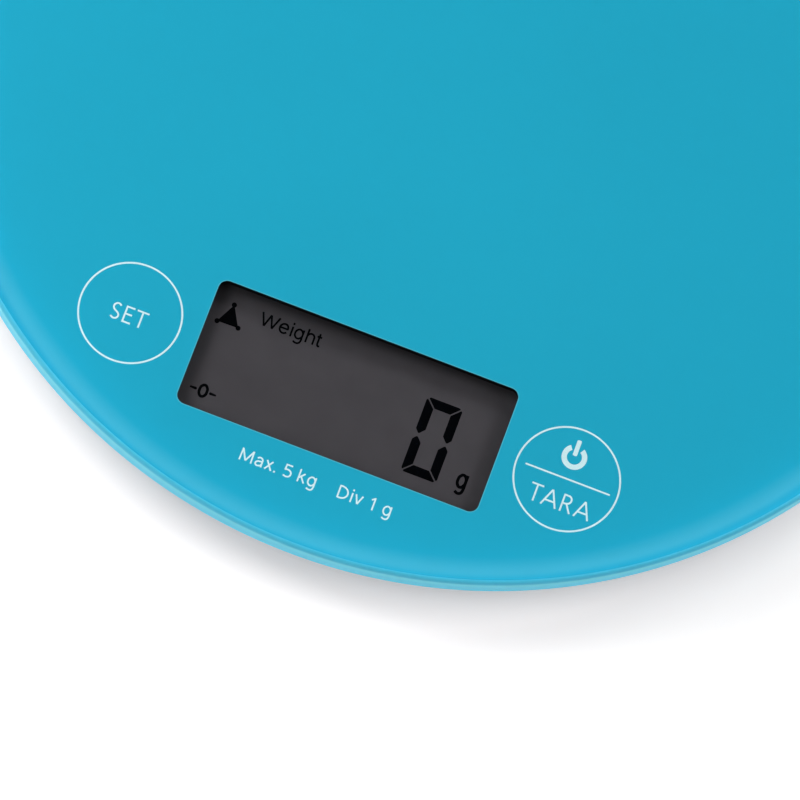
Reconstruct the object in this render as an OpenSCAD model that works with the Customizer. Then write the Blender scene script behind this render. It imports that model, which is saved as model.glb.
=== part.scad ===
// Round digital kitchen scale with a back-printed glass platform on one load cell.
// Millimetres. +Z is up, the table is z = 0 and the disc's centre is x = y = 0.
// The front, with the display and the keys, faces -Y.

/* [Platform] */
// Diameter of the glass disc
platform_d = 185; // [170:1:220]
// Thickness of the glass
glass_t = 5; // [4:0.5:8]
// Width of the ground chamfer on the edges of the glass
glass_arris = 0.4; // [0.2:0.1:0.8]
// Thickness of the colour printed on the back of the glass
print_t = 0.2; // [0.1:0.05:0.3]
// Width of clear glass left outside the print
print_margin = 0.5; // [0.3:0.1:1.5]
// Thickness of the double-sided tape
tape_t = 0.5; // [0.3:0.1:1]
// How far the glass overhangs the tray
overhang = 4; // [3:0.5:8]

/* [Tray] */
// Thickness of the tray's plate
tray_t = 1.5; // [1.2:0.1:2.5]
// Wall of the tray's skirt
skirt_t = 1.5; // [1.2:0.1:2]
// Depth of the tray's stiffening ribs
rib_depth = 1.6; // [1:0.1:1.9]
// Radius of the ring rib under the tray
rib_ring_r = 40; // [38:0.5:44]

/* [Base] */
// Thickness of the base's floor
floor_t = 1.6; // [1.5:0.1:2.2]
// Wall of the base
base_wall = 1.6; // [1.2:0.1:2.5]
// Gap between the tray's skirt and the base
side_gap = 1.5; // [1:0.1:2.5]
// Height that the tray's skirt laps over the base's wall
skirt_lap = 0.3; // [0.2:0.1:0.8]
// Radius of the base's lower edge
base_edge_r = 1.2; // [0.8:0.1:1.4]

/* [Feet] */
// Diameter of a rubber foot
foot_d = 15; // [12:0.5:18]
// How far a foot stands below the base
foot_stand = 1.4; // [1:0.1:3]
// Depth of the pocket that holds a foot
foot_pocket = 0.7; // [0.5:0.1:0.9]
// Distance of a foot from the disc's centre
foot_pitch_r = 70; // [66:0.5:71]

/* [Display and keys] */
// Width of the display window
window_w = 52; // [44:0.5:56]
// Depth of the display window, front to back
window_h = 22; // [18:0.5:23]
// Corner radius of the display window
window_r = 1.5; // [0.5:0.1:3]
// Distance from the disc's edge to the centre line of window and keys
rim_to_keys = 28.3; // [25:0.1:30]
// Distance from the middle to each touch key
key_x = 38; // [37.5:0.5:40]
// Thickness of the display glass with its films
lcd_t = 2.2; // [1.8:0.1:2.5]
// Thickness of each display film
film_t = 0.2; // [0.1:0.05:0.3]
// How far the display glass reaches past the tray's opening, each side
lcd_seat = 1; // [0.8:0.1:1.4]
// Wall of the gasket round the window
gasket_wall = 1.2; // [0.8:0.1:1.5]

/* [Circuit board] */
// Thickness of the board
board_t = 1.2; // [0.8:0.1:1.6]
// Height of the rubber connector between board and display
zebra_h = 1.6; // [1.4:0.1:1.8]
// Diameter of a touch spring
key_spring_d = 8; // [6:0.5:9]
// Wire of a touch spring
key_wire_d = 0.6; // [0.5:0.05:0.8]
// Turns of a touch spring
key_spring_turns = 4; // [3:1:5]

/* [Load cell] */
// Length of the beam
cell_l = 47; // [44:1:56]
// Width of the beam
cell_w = 12; // [10:0.5:14]
// Height of the beam
cell_h = 6; // [6:0.1:8]
// Diameter of the two bores that thin the beam
cell_bore_d = 4.4; // [3.8:0.1:4.6]
// Distance between the two bores
cell_bore_gap = 8; // [7:0.5:10]
// Thickness of the steel plates above and below the beam
plate_t = 0.9; // [0.9:0.1:1.5]
// Shank of the screws in the beam
cell_screw_d = 3; // [2.5:0.1:3.5]
// Downward travel of the platform at full load
travel = 0.4; // [0.2:0.05:0.5]

/* [Battery] */
// Diameter of the coin cell
coin_d = 20; // [16:1:24]
// Thickness of the coin cell
coin_t = 3.2; // [2.5:0.1:3.2]
// Distance of the coin cell behind the disc's centre
coin_y = 48; // [45:0.5:50]
// Thickness of the battery cover
cover_t = 1.2; // [1:0.1:1.2]

/* [Hidden] */
$fn = 96;

// Small distance by which a cutter passes a face
eps = 0.1;
// Slack between plastic pieces that slip together
slip = 0.25;
// Slack round screws, pins and other small fits
fit = 0.05;

// Levels, from the table up
z_base = foot_stand;
z_floor = z_base + floor_t;
z_cell = z_floor + plate_t;
z_cell_top = z_cell + cell_h;
z_tray = z_cell_top + plate_t;
z_tray_top = z_tray + tray_t;
z_print = z_tray_top + tape_t;
z_glass = z_print + print_t;
z_top = z_glass + glass_t;
z_lcd = z_tray - lcd_t;
z_board_top = z_lcd - zebra_h;
z_board = z_board_top - board_t;

// Radii of the round bodies
platform_r = platform_d / 2;
print_r = platform_r - print_margin;
tray_r = platform_r - overhang;
skirt_r = tray_r - skirt_t;
base_r = skirt_r - side_gap;
base_in_r = base_r - base_wall;
z_base_rim = z_lcd - travel - 0.6;
z_skirt = z_base_rim - skirt_lap;

// Display and keys
keys_y = -(platform_r - rim_to_keys);
opening_w = window_w + 2 * (gasket_wall + slip);
opening_h = window_h + 2 * (gasket_wall + slip);
lcd_w = opening_w + 2 * lcd_seat;
lcd_h = opening_h + 2 * lcd_seat;
zebra_t = 2;
zebra_l = lcd_w - 5;
key_hole_d = key_spring_d + 3;

// Circuit board and its screws
board_r = base_in_r - 1.5;
board_w = 2 * key_x + key_spring_d + 4;
board_back_y = keys_y + lcd_h / 2 + 1.6;
boss_d = 4.6;
board_screw_d = 1.8;
board_screw_x = lcd_w / 2 + boss_d / 2 + 1;
board_screw_back = keys_y + 10;
board_screw_front = keys_y - 5;
board_screws_at = [for (s = [-1, 1], y = [board_screw_back, board_screw_front]) [s * board_screw_x, y]];

// Load cell and its screws
cell_end = cell_l / 2;
plate_in = cell_bore_gap / 2 + cell_bore_d / 2 + 3;
plate_out = cell_end + 7;
plate_w = cell_w + 16;
screw_pitch = 7;
screw_x = cell_end - 4;
cell_screws_at = [screw_x - screw_pitch, screw_x];
screw_head_d = cell_screw_d + 2.6;
screw_head_h = screw_head_d / 2 - cell_screw_d / 2;
screw_bite = cell_h - 1.5;
gauge_x = cell_bore_gap / 2;
gauge_size = [5, 4, 0.1];
sealant_size = [cell_bore_gap + 8, 8, 0.35];
stop_gap = 0.1;

// Battery well and cover
well_slack = 0.3;
well_in_r = coin_d / 2 + well_slack;
well_out_r = well_in_r + 1.4;
cover_w = coin_d + 7;
cover_front = coin_y - coin_d / 2 - 3;
cover_back = coin_y + coin_d / 2 + 4;
cover_l = cover_back - cover_front;
cover_r = 2;
z_cover_top = z_base + cover_t;
z_seat = z_cover_top + 0.05;
block_wall = 3;
z_block = z_floor + 0.9;
z_coin = z_cover_top + 0.2;
z_coin_top = z_coin + coin_t;
contact_room = 0.8;
leaf = [12, 6, 0.25];
tab_t = 0.4;
tab_w = 2;
tab_rise = 1.2;
strip_t = 0.3;
strip_w = 4;
z_roof = z_coin_top + contact_room;
roof_t = 1;
hook_w = 5;
hook_x = 7;
hook_reach = 1.4;
hook_t = 0.8;
z_hook = z_base + 0.9;
latch_w = 8;
latch_t = 0.8;
latch_catch = 0.35;
barb_h = 0.6;
z_latch_top = z_block + 0.3;
z_catch = z_latch_top - barb_h - 0.1;
tongue_slit = 0.6;
notch_d = latch_w + 4;
notch_depth = 0.8;
grip_t = 0.6;
grip_pitch = 1.2;
grip_depth = 0.35;

// Routes of the leads, from their source to the board's underside
wire_d = 0.9;
wire_pitch = 1.1;
wire_end_y = board_back_y - 3;
cell_wire_route = [
    [0, -cell_w / 2 - 0.6, z_cell_top - 0.5], [0, -cell_w / 2 - 1.6, z_cell_top - 1.2],
    [0, -10.5, z_floor + 1.6], [0, -14, z_floor + 0.7], [0, -26, z_floor + 0.6],
    [0, -38, z_floor + 0.6], [0, wire_end_y + 5, z_floor + 0.8],
    [0, wire_end_y + 1, z_floor + 1.3], [0, wire_end_y, z_board - 0.9],
    [0, wire_end_y, z_board - 0.45], [0, wire_end_y, z_board]
];
battery_wire_route = [
    [4, coin_y - 4, z_roof + roof_t + 1], [10, coin_y - 8, z_roof + roof_t + 1],
    [18, coin_y - 11, z_roof + roof_t - 1], [27, coin_y - 16, z_floor + 1.2],
    [34, 22, z_floor + 0.6], [37, 8, z_floor + 0.6], [37, -10, z_floor + 0.6],
    [34, -26, z_floor + 0.6], [28, -40, z_floor + 0.6], [24, wire_end_y + 5, z_floor + 0.8],
    [22, wire_end_y + 1, z_floor + 1.3], [22, wire_end_y, z_board - 0.9],
    [22, wire_end_y, z_board - 0.45], [22, wire_end_y, z_board]
];

// Plate with rounded corners, standing on z = 0
module rounded_plate(w, l, t, r) {
    linear_extrude(t) union() {
        square([w - 2 * r, l], center = true);
        square([w, l - 2 * r], center = true);
        for (x = [-1, 1], y = [-1, 1]) translate([x * (w / 2 - r), y * (l / 2 - r)]) circle(r);
    }
}

// Flat ring standing on z = 0
module ring(r_out, r_in, h) {
    difference() {
        cylinder(h = h, r = r_out, $fn = 180);
        translate([0, 0, -eps]) cylinder(h = h + 2 * eps, r = r_in, $fn = 180);
    }
}

// Countersunk screw with its head's flat face on z = 0 and its shank along +Z
module countersunk(d, head_d, head_h, length) {
    difference() {
        union() {
            cylinder(h = head_h, d1 = head_d, d2 = d);
            cylinder(h = length, d = d);
        }
        for (a = [0, 90]) rotate(a) translate([-d * 0.45, -d * 0.08, -eps]) cube([d * 0.9, d * 0.16, 0.7]);
    }
}

// Hole for such a screw, opened below its head
module countersink(d, head_d, head_h, length) {
    translate([0, 0, -eps]) cylinder(h = eps + fit, d = head_d + 2 * fit);
    translate([0, 0, fit / 2]) cylinder(h = head_h, d1 = head_d + 2 * fit, d2 = d + 2 * fit);
    cylinder(h = length, d = d + 2 * fit);
}

// Unit vector and cross product helpers for the swept tubes
function unit(v) = v / norm(v);
function lean(p, i) = unit(p[min(i + 1, len(p) - 1)] - p[max(i - 1, 0)]);
function side_of(t) = unit(cross(t, abs(t[2]) < 0.9 ? [0, 0, 1] : [1, 0, 0]));

// Round tube along a list of points
module tube_along(points, d, sides = 8) {
    n = len(points);
    rings = [for (i = [0:n - 1]) let (t = lean(points, i), u = side_of(t), v = cross(t, u))
        for (k = [0:sides - 1]) let (a = 360 * k / sides)
            points[i] + (u * cos(a) + v * sin(a)) * d / 2];
    walls = [for (i = [0:n - 2], k = [0:sides - 1]) let (a = i * sides + k, b = i * sides + (k + 1) % sides)
        each [[a, b + sides, b], [a, a + sides, b + sides]]];
    first = [for (k = [1:sides - 2]) [0, k, k + 1]];
    last = [for (k = [1:sides - 2]) [(n - 1) * sides, (n - 1) * sides + k + 1, (n - 1) * sides + k]];
    polyhedron(rings, concat(walls, first, last), convexity = 4);
}

// Points spaced along a route, on a curve that rounds its corners
function smooth(p) = concat([for (i = [0:len(p) - 2], f = [0, 0.5])
    let (a = p[max(i - 1, 0)], b = p[i], c = p[i + 1], e = p[min(i + 2, len(p) - 1)])
    b + (c - a) * f / 2 + (2 * a - 5 * b + 4 * c - e) * f * f / 2 + (3 * b - a - 3 * c + e) * f * f * f / 2],
    [p[len(p) - 1]]);
function shift(p, d) = [for (q = p) q + d];

// Level direction of a route at a point, and the route moved sideways by d
function level(p, i) = let (t = lean(p, i), h = [t[0], t[1], 0])
    norm(h) > 0.1 || i == 0 ? unit(h) : level(p, i - 1);
function beside(p, d) = [for (i = [0:len(p) - 1]) let (h = level(p, i)) p[i] + d * [-h[1], h[0], 0]];

// Glass disc with a ground chamfer on both edges
module glass_platform() {
    color([0.75, 0.9, 0.93, 0.5]) translate([0, 0, z_glass]) rotate_extrude($fn = 180) polygon([
        [0, 0], [platform_r - glass_arris, 0], [platform_r, glass_arris],
        [platform_r, glass_t - glass_arris], [platform_r - glass_arris, glass_t], [0, glass_t]
    ]);
}

// Ink layer under the glass, clear at the display window
module glass_print() {
    color([0.1, 0.63, 0.77]) difference() {
        translate([0, 0, z_print]) cylinder(h = print_t, r = print_r, $fn = 180);
        translate([0, keys_y, z_print - eps]) rounded_plate(window_w, window_h, print_t + 2 * eps, window_r);
    }
}

// Tape ring near the rim and a tape pad in the middle
module adhesive_tape() {
    ring_w = 2.6;
    pad_out = 34;
    pad_in = 26;
    color([0.85, 0.85, 0.82]) translate([0, 0, z_tray_top]) {
        ring(tray_r - 0.4, tray_r - 0.4 - ring_w, tape_t);
        ring(pad_out, pad_in, tape_t);
    }
}

// Tray that carries the glass: plate, skirt, ribs and bosses
module platform_tray() {
    rib_t = 1.2;
    color([0.12, 0.5, 0.62]) difference() {
        union() {
            translate([0, 0, z_tray]) cylinder(h = tray_t, r = tray_r, $fn = 180);
            translate([0, 0, z_skirt]) ring(tray_r, skirt_r, z_tray - z_skirt + eps);
            translate([0, 0, z_tray - rib_depth]) ring(rib_ring_r, rib_ring_r - rib_t, rib_depth + eps);
            for (a = [0:30:180]) rotate(a) translate([rib_ring_r - rib_t / 2, -rib_t / 2, z_tray - rib_depth])
                cube([skirt_r - rib_ring_r + rib_t, rib_t, rib_depth + eps]);
            for (p = board_screws_at) translate([p[0], p[1], z_board_top])
                cylinder(h = z_tray - z_board_top + eps, d = boss_d);
        }
        translate([0, keys_y, z_tray - eps]) rounded_plate(opening_w, opening_h, tray_t + 2 * eps, window_r);
        for (s = [-1, 1]) translate([s * key_x, keys_y, z_tray - eps])
            cylinder(h = tray_t + 2 * eps, d = key_hole_d);
        for (p = board_screws_at) translate([p[0], p[1], z_board_top - eps])
            cylinder(h = 3.4 + eps, d = board_screw_d + 2 * fit);
        for (x = cell_screws_at) translate([x, 0, z_tray_top]) mirror([0, 0, 1])
            countersink(cell_screw_d, screw_head_d, screw_head_h, tray_t + eps);
    }
}

// Dark frame that closes the gap between print and display glass
module display_gasket() {
    height = z_print - z_tray;
    color([0.06, 0.06, 0.07]) translate([0, keys_y, z_tray]) difference() {
        rounded_plate(window_w + 2 * gasket_wall, window_h + 2 * gasket_wall, height, window_r);
        translate([0, 0, -eps]) rounded_plate(window_w + 0.4, window_h + 0.4, height + 2 * eps, window_r);
    }
}

// One layer of the display
module display_layer(w, l, z, t) {
    translate([-w / 2, keys_y - l / 2, z]) cube([w, l, t]);
}

module lcd_polariser() {
    color([0.28, 0.27, 0.28]) display_layer(lcd_w - 0.6, lcd_h - 0.6, z_tray - film_t, film_t);
}

module lcd_cell() {
    color([0.7, 0.8, 0.78]) display_layer(lcd_w, lcd_h, z_lcd + film_t, lcd_t - 2 * film_t);
}

// Back film, which leaves the glass bare where the rubber strips stand
module lcd_reflector() {
    color([0.6, 0.62, 0.6]) display_layer(lcd_w - 0.6, lcd_h - 2 * zebra_t - 1.6, z_lcd, film_t);
}

// Rubber strip along one long edge of the display, between board and glass
module edge_strip(side) {
    y = keys_y + side * (lcd_h / 2 - 0.4 - zebra_t / 2);
    translate([-zebra_l / 2, y - zebra_t / 2, z_board_top]) cube([zebra_l, zebra_t, zebra_h + film_t]);
}

module zebra_strip() {
    color([0.75, 0.3, 0.55]) edge_strip(1);
}

module lcd_support_strip() {
    color([0.2, 0.2, 0.2]) intersection() {
        edge_strip(-1);
        translate([0, 0, z_board_top - eps]) cylinder(h = zebra_h + film_t + 2 * eps, r = board_r, $fn = 180);
    }
}

// Circuit board, cut round to clear the base's wall
module main_board() {
    color([0.05, 0.4, 0.18]) difference() {
        intersection() {
            translate([0, 0, z_board]) cylinder(h = board_t, r = board_r, $fn = 180);
            translate([-board_w / 2, -board_r, z_board]) cube([board_w, board_r + board_back_y, board_t]);
        }
        for (p = board_screws_at) translate([p[0], p[1], z_board - eps])
            cylinder(h = board_t + 2 * eps, d = board_screw_d + 2 * fit);
    }
}

// Epoxy cap over the chip, a low dome under the board
module chip_cover() {
    cap_r = 5;
    cap_h = 0.9;
    dome_r = (cap_r * cap_r + cap_h * cap_h) / (2 * cap_h);
    color([0.08, 0.08, 0.09]) translate([-6, keys_y + 3, z_board]) rotate_extrude() intersection() {
        translate([0, dome_r - cap_h]) circle(dome_r, $fn = 180);
        translate([0, -cap_h]) square([cap_r, cap_h]);
    }
}

// Capacitors and the crystal under the board
module board_components() {
    chip = [2, 1.2, 0.7];
    color([0.6, 0.5, 0.35]) {
        for (x = [6, 10, 14], y = [0, 4]) translate([x, keys_y + y, z_board - chip[2]]) cube(chip);
        for (x = [-20, -16]) translate([x, keys_y + 2, z_board - chip[2]]) cube(chip);
        translate([15, keys_y - 5, z_board - 1]) cube([6, 2, 1]);
    }
}

// Pan-head screws that hold the board up against the bosses
module board_screws() {
    head_h = 0.8;
    color([0.75, 0.75, 0.78]) for (p = board_screws_at) translate([p[0], p[1], z_board]) {
        translate([0, 0, -head_h]) difference() {
            cylinder(h = head_h, d = 3.4);
            for (a = [0, 90]) rotate(a) translate([-1, -0.2, -eps]) cube([2, 0.4, 0.4 + eps]);
        }
        cylinder(h = board_t + 3, d = board_screw_d);
    }
}

// Coil spring that carries a key's touch pad up to the glass, widening to flat ends
module key_spring(side) {
    steps = 12;
    low = z_board_top + key_wire_d / 2;
    high = z_print - key_wire_d / 2;
    n = key_spring_turns * steps;
    coil = [for (i = [0:n]) let (f = i / n, a = 360 * key_spring_turns * f,
        r = (key_spring_d - key_wire_d) / 2 * (1 - 0.25 * sin(180 * f)),
        rise = min(1, max(0, (f * key_spring_turns - 0.5) / (key_spring_turns - 1))))
        [side * key_x + r * cos(a), keys_y + r * sin(a), low + (high - low) * rise]];
    color([0.8, 0.78, 0.7]) tube_along(coil, key_wire_d, 6);
}

module set_key_spring() {
    key_spring(-1);
}

module tare_key_spring() {
    key_spring(1);
}

// Steel plate at one end of the beam, side 1 above it and side -1 below it
module cell_plate(side, z) {
    color([0.72, 0.73, 0.75]) difference() {
        translate([side * (plate_in + plate_out) / 2, 0, z])
            rounded_plate(plate_out - plate_in, plate_w, plate_t, 2);
        for (x = cell_screws_at) translate([side * x, 0, z - eps])
            cylinder(h = plate_t + 2 * eps, d = cell_screw_d + 2 * fit);
    }
}

module cell_plate_upper() {
    cell_plate(1, z_cell_top);
}

module cell_plate_lower() {
    cell_plate(-1, z_floor);
}

module cell_screws_upper() {
    color([0.7, 0.7, 0.72]) for (x = cell_screws_at) translate([x, 0, z_tray_top]) mirror([0, 0, 1])
        countersunk(cell_screw_d, screw_head_d, screw_head_h, tray_t + plate_t + screw_bite);
}

module cell_screws_lower() {
    color([0.7, 0.7, 0.72]) for (x = cell_screws_at) translate([-x, 0, z_base])
        countersunk(cell_screw_d, screw_head_d, screw_head_h, floor_t + plate_t + screw_bite);
}

// Bending beam: two cross bores joined by a slot leave thin flexing webs
module load_cell() {
    color([0.8, 0.81, 0.82]) difference() {
        translate([-cell_end, -cell_w / 2, z_cell]) cube([cell_l, cell_w, cell_h]);
        for (s = [-1, 1]) translate([s * cell_bore_gap / 2, cell_w / 2 + eps, z_cell + cell_h / 2])
            rotate([90, 0, 0]) cylinder(h = cell_w + 2 * eps, d = cell_bore_d);
        translate([-cell_bore_gap / 2, -cell_w / 2 - eps, z_cell + cell_h / 2 - cell_bore_d / 4])
            cube([cell_bore_gap, cell_w + 2 * eps, cell_bore_d / 2]);
        for (x = cell_screws_at) {
            translate([-x, 0, z_cell - eps]) cylinder(h = screw_bite + 0.3 + eps, d = cell_screw_d + 2 * fit);
            translate([x, 0, z_cell_top + eps]) mirror([0, 0, 1])
                cylinder(h = screw_bite + 0.3 + eps, d = cell_screw_d + 2 * fit);
        }
    }
}

// A block over each thin web, on the beam's top and bottom
module on_webs(size, slack = 0) {
    for (s = [-1, 1]) {
        translate([s * gauge_x - size[0] / 2 - slack, -size[1] / 2 - slack, z_cell_top])
            cube([size[0] + 2 * slack, size[1] + 2 * slack, size[2] + slack]);
        translate([s * gauge_x - size[0] / 2 - slack, -size[1] / 2 - slack, z_cell - size[2] - slack])
            cube([size[0] + 2 * slack, size[1] + 2 * slack, size[2] + slack]);
    }
}

module strain_gauges() {
    color([0.8, 0.55, 0.25]) on_webs(gauge_size);
}

// Soft white coat over the gauges
module gauge_sealant() {
    size = sealant_size;
    color([0.93, 0.93, 0.9]) difference() {
        for (z = [z_cell_top, z_cell - size[2]]) translate([0, 0, z]) rounded_plate(size[0], size[1], size[2], 1.5);
        on_webs(gauge_size, 0.02);
    }
}

// Four leads side by side from the beam to the board
module cell_wires() {
    color([0.75, 0.15, 0.12]) for (i = [0:3])
        tube_along(smooth(shift(cell_wire_route, [(i - 1.5) * wire_pitch, 0, 0])), wire_d);
}

module battery_wires() {
    color([0.1, 0.1, 0.1]) for (i = [0, 1])
        tube_along(smooth(beside(battery_wire_route, i * wire_pitch)), wire_d);
}

// Coin cell with its smaller face up, towards the contact leaf
module coin_cell() {
    step = 0.4;
    color([0.82, 0.82, 0.84]) translate([0, coin_y, z_coin]) union() {
        cylinder(h = coin_t - step, d = coin_d);
        translate([0, 0, coin_t - step - eps]) cylinder(h = step + eps, d = coin_d - 2.2);
    }
}

// Contact leaf under the well's roof, with two fingers bent down to the coin cell
module battery_contact_negative() {
    finger = [5, 1.4, 0.2];
    drop = contact_room - leaf[2] - finger[2] - 0.03;
    color([0.85, 0.8, 0.6]) translate([0, coin_y, 0]) {
        translate([-leaf[0] / 2, -leaf[1] / 2, z_roof - leaf[2]]) cube(leaf);
        for (y = [-2, 2]) translate([-finger[0] / 2, y - finger[1] / 2, z_roof - leaf[2]])
            rotate([0, asin(drop / finger[0]), 0]) translate([0, 0, -finger[2]])
                cube([finger[0], finger[1], finger[2] + 0.05]);
        translate([leaf[0] / 2 - tab_t, -tab_w - 1, z_roof - leaf[2]])
            cube([tab_t, tab_w, roof_t + leaf[2] + tab_rise]);
    }
}

// Side contact in a pocket of the well's wall, with its tab through the roof
module battery_contact_positive() {
    color([0.85, 0.8, 0.6]) translate([coin_d / 2 + 0.03, coin_y - strip_w / 2, z_coin + 0.4])
        cube([strip_t, strip_w, z_roof + roof_t + tab_rise - z_coin - 0.4]);
}

// Slots through the roof for the two contact tabs, and the side contact's pocket
module contact_cuts() {
    translate([leaf[0] / 2 - tab_t - slip / 2, coin_y - tab_w - 1 - slip / 2, z_roof - eps])
        cube([tab_t + slip, tab_w + slip, roof_t + 2 * eps]);
    translate([coin_d / 2 - eps, coin_y - (strip_w + slip) / 2, z_seat + 0.4])
        cube([eps + 0.03 + strip_t + slip / 2, strip_w + slip, z_roof + roof_t - z_seat]);
}

// Overload stop under the beam's free end
module overload_stop() {
    h = plate_t - travel - stop_gap;
    translate([screw_x - screw_pitch / 2, 0, z_floor - eps]) cylinder(h = h + eps, d = 5);
}

// Solid block round the battery well, before it is hollowed
module well_block() {
    block_l = cover_l + 2 * block_wall;
    translate([0, (cover_front + cover_back) / 2, z_base + base_edge_r])
        rounded_plate(cover_w + 2 * block_wall, block_l, z_block - z_base - base_edge_r, cover_r + 1);
    translate([0, coin_y, z_base + base_edge_r]) cylinder(h = z_roof + roof_t - z_base - base_edge_r, r = well_out_r);
}

// Room for the battery, its contacts, and the cover with its hooks and latch, and a
// notch behind the latch for a fingernail
module well_room() {
    translate([0, coin_y, z_base]) cylinder(h = z_roof - z_base, r = well_in_r);
    translate([0, (cover_front + cover_back) / 2, z_base - eps])
        rounded_plate(cover_w, cover_l, z_seat - z_base + eps, cover_r);
    for (s = [-1, 1]) translate([s * hook_x - hook_w / 2 - slip, cover_front - hook_reach - slip, z_hook - 0.1])
        cube([hook_w + 2 * slip, hook_reach + 2.8 + slip, z_block - z_hook + 1]);
    translate([-latch_w / 2 - slip, cover_back - 2.2, z_base + 0.5])
        cube([latch_w + 2 * slip, 2.2, z_block - z_base + 1]);
    translate([-latch_w / 2 - slip, cover_back - eps, z_catch])
        cube([latch_w + 2 * slip, latch_catch + slip + eps, z_block - z_catch + 1]);
    translate([0, cover_back, z_base - eps]) cylinder(h = notch_depth + eps, d = notch_d);
    contact_cuts();
}

// Shallow base: dished floor and wall, battery well, foot pockets, overload stop
module base_shell() {
    e = base_edge_r;
    color([0.14, 0.55, 0.68]) difference() {
        union() {
            rotate_extrude($fn = 180) {
                translate([0, z_base]) square([base_r - e, floor_t]);
                translate([base_in_r, z_base + e]) square([base_wall, z_base_rim - z_base - e]);
                translate([base_r - 2 * e, z_base + e]) square([2 * e, floor_t - e]);
                intersection() {
                    translate([base_r - e, z_base + e]) circle(e, $fn = 48);
                    translate([base_r - e, z_base]) square(e);
                }
            }
            well_block();
            overload_stop();
        }
        well_room();
        for (a = [45:90:315]) rotate(a) translate([foot_pitch_r, 0, z_base - eps])
            cylinder(h = foot_pocket + eps, d = foot_d + 2 * fit);
        for (x = cell_screws_at) translate([-x, 0, z_base])
            countersink(cell_screw_d, screw_head_d, screw_head_h, floor_t + eps);
    }
}

// Rubber foot, rounded where it meets the table
module foot(angle) {
    r = foot_d / 2;
    round_r = 0.8;
    color([0.1, 0.1, 0.11]) rotate(angle) translate([foot_pitch_r, 0, 0]) rotate_extrude() union() {
        square([r - round_r, foot_stand + foot_pocket]);
        translate([0, round_r]) square([r, foot_stand + foot_pocket - round_r]);
        intersection() {
            translate([r - round_r, round_r]) circle(round_r, $fn = 32);
            translate([r - round_r, 0]) square(round_r);
        }
    }
}

module foot_front_left() {
    foot(225);
}

module foot_front_right() {
    foot(315);
}

module foot_rear_left() {
    foot(135);
}

module foot_rear_right() {
    foot(45);
}

// Battery cover with two hooks in front and a snap tongue behind, grooved for grip
module battery_cover() {
    w = cover_w - 2 * slip;
    l = cover_l - 2 * slip;
    mid = (cover_front + cover_back) / 2;
    tongue_y = cover_back - slip - latch_t;
    color([0.14, 0.55, 0.68]) {
        difference() {
            translate([0, mid, z_base]) rounded_plate(w, l, cover_t, cover_r - slip);
            for (s = [-1, 1]) translate([s * (latch_w / 2 + tongue_slit / 2) - tongue_slit / 2,
                cover_back - 5, z_base - eps]) cube([tongue_slit, 6, cover_t + 2 * eps]);
            for (i = [0:2]) translate([0.6 - latch_w / 2, cover_back - 1.5 - i * grip_pitch, z_base - eps])
                cube([latch_w - 1.2, grip_t, grip_depth + eps]);
        }
        for (s = [-1, 1]) translate([s * hook_x - hook_w / 2, cover_front - hook_reach, z_hook])
            cube([hook_w, hook_reach + 1.8, hook_t]);
        translate([-latch_w / 2, tongue_y, z_cover_top - eps]) cube([latch_w, latch_t, z_latch_top - z_cover_top + eps]);
        translate([-latch_w / 2, tongue_y, z_latch_top - barb_h])
            cube([latch_w, latch_t + slip + latch_catch, barb_h]);
    }
}

glass_platform();
glass_print();
adhesive_tape();
platform_tray();
display_gasket();
lcd_polariser();
lcd_cell();
lcd_reflector();
zebra_strip();
lcd_support_strip();
main_board();
chip_cover();
board_components();
board_screws();
set_key_spring();
tare_key_spring();
cell_plate_upper();
cell_screws_upper();
base_shell();
cell_plate_lower();
cell_screws_lower();
load_cell();
strain_gauges();
gauge_sealant();
cell_wires();
battery_wires();
coin_cell();
battery_contact_negative();
battery_contact_positive();
foot_front_left();
foot_front_right();
foot_rear_left();
foot_rear_right();
battery_cover();
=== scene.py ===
"""Looks for a round glass kitchen scale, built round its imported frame. All sizes are in metres."""

import logging
import math
from dataclasses import dataclass, field
from enum import Enum
from typing import Callable, Sequence

import bmesh
import bpy
from mathutils import Matrix, Vector


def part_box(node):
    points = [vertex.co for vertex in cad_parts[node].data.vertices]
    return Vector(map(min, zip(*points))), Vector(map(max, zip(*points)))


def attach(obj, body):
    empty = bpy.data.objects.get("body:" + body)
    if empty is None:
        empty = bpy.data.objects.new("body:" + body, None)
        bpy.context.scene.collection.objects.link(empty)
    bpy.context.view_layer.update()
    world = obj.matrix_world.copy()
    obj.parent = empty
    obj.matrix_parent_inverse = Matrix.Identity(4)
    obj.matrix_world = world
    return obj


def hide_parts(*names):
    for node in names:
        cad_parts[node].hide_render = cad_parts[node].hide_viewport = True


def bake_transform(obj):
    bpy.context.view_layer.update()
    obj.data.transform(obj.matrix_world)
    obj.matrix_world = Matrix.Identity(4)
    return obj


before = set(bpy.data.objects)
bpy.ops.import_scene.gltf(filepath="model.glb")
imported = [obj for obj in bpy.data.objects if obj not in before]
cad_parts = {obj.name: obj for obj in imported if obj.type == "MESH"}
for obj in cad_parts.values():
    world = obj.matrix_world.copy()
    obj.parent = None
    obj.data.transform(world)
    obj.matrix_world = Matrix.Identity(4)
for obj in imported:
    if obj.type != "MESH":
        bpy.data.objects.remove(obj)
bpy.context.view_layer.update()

MM = 0.001
TOUCHING = 0.001 * MM
NOISE_LOW, NOISE_HIGH = 0.3, 0.7
Colour = tuple[float, float, float]
Point = tuple[float, float, float]
Spot = tuple[float, float]
Run = tuple[float, float, float, float]
Socket = bpy.types.NodeSocket
log = logging.getLogger("kitchen_scale")


class Body(Enum):
    """The bodies of the frame that a piece can ride on."""

    BASE = "base"
    PLATFORM = "platform"
    COVER = "cover"


class Grain(Enum):
    """Ways in which a surface is broken up close by."""

    MOULDED = "moulded"
    PORES = "pores"
    BRUSHED = "brushed"
    SMOOTH = "smooth"


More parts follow.
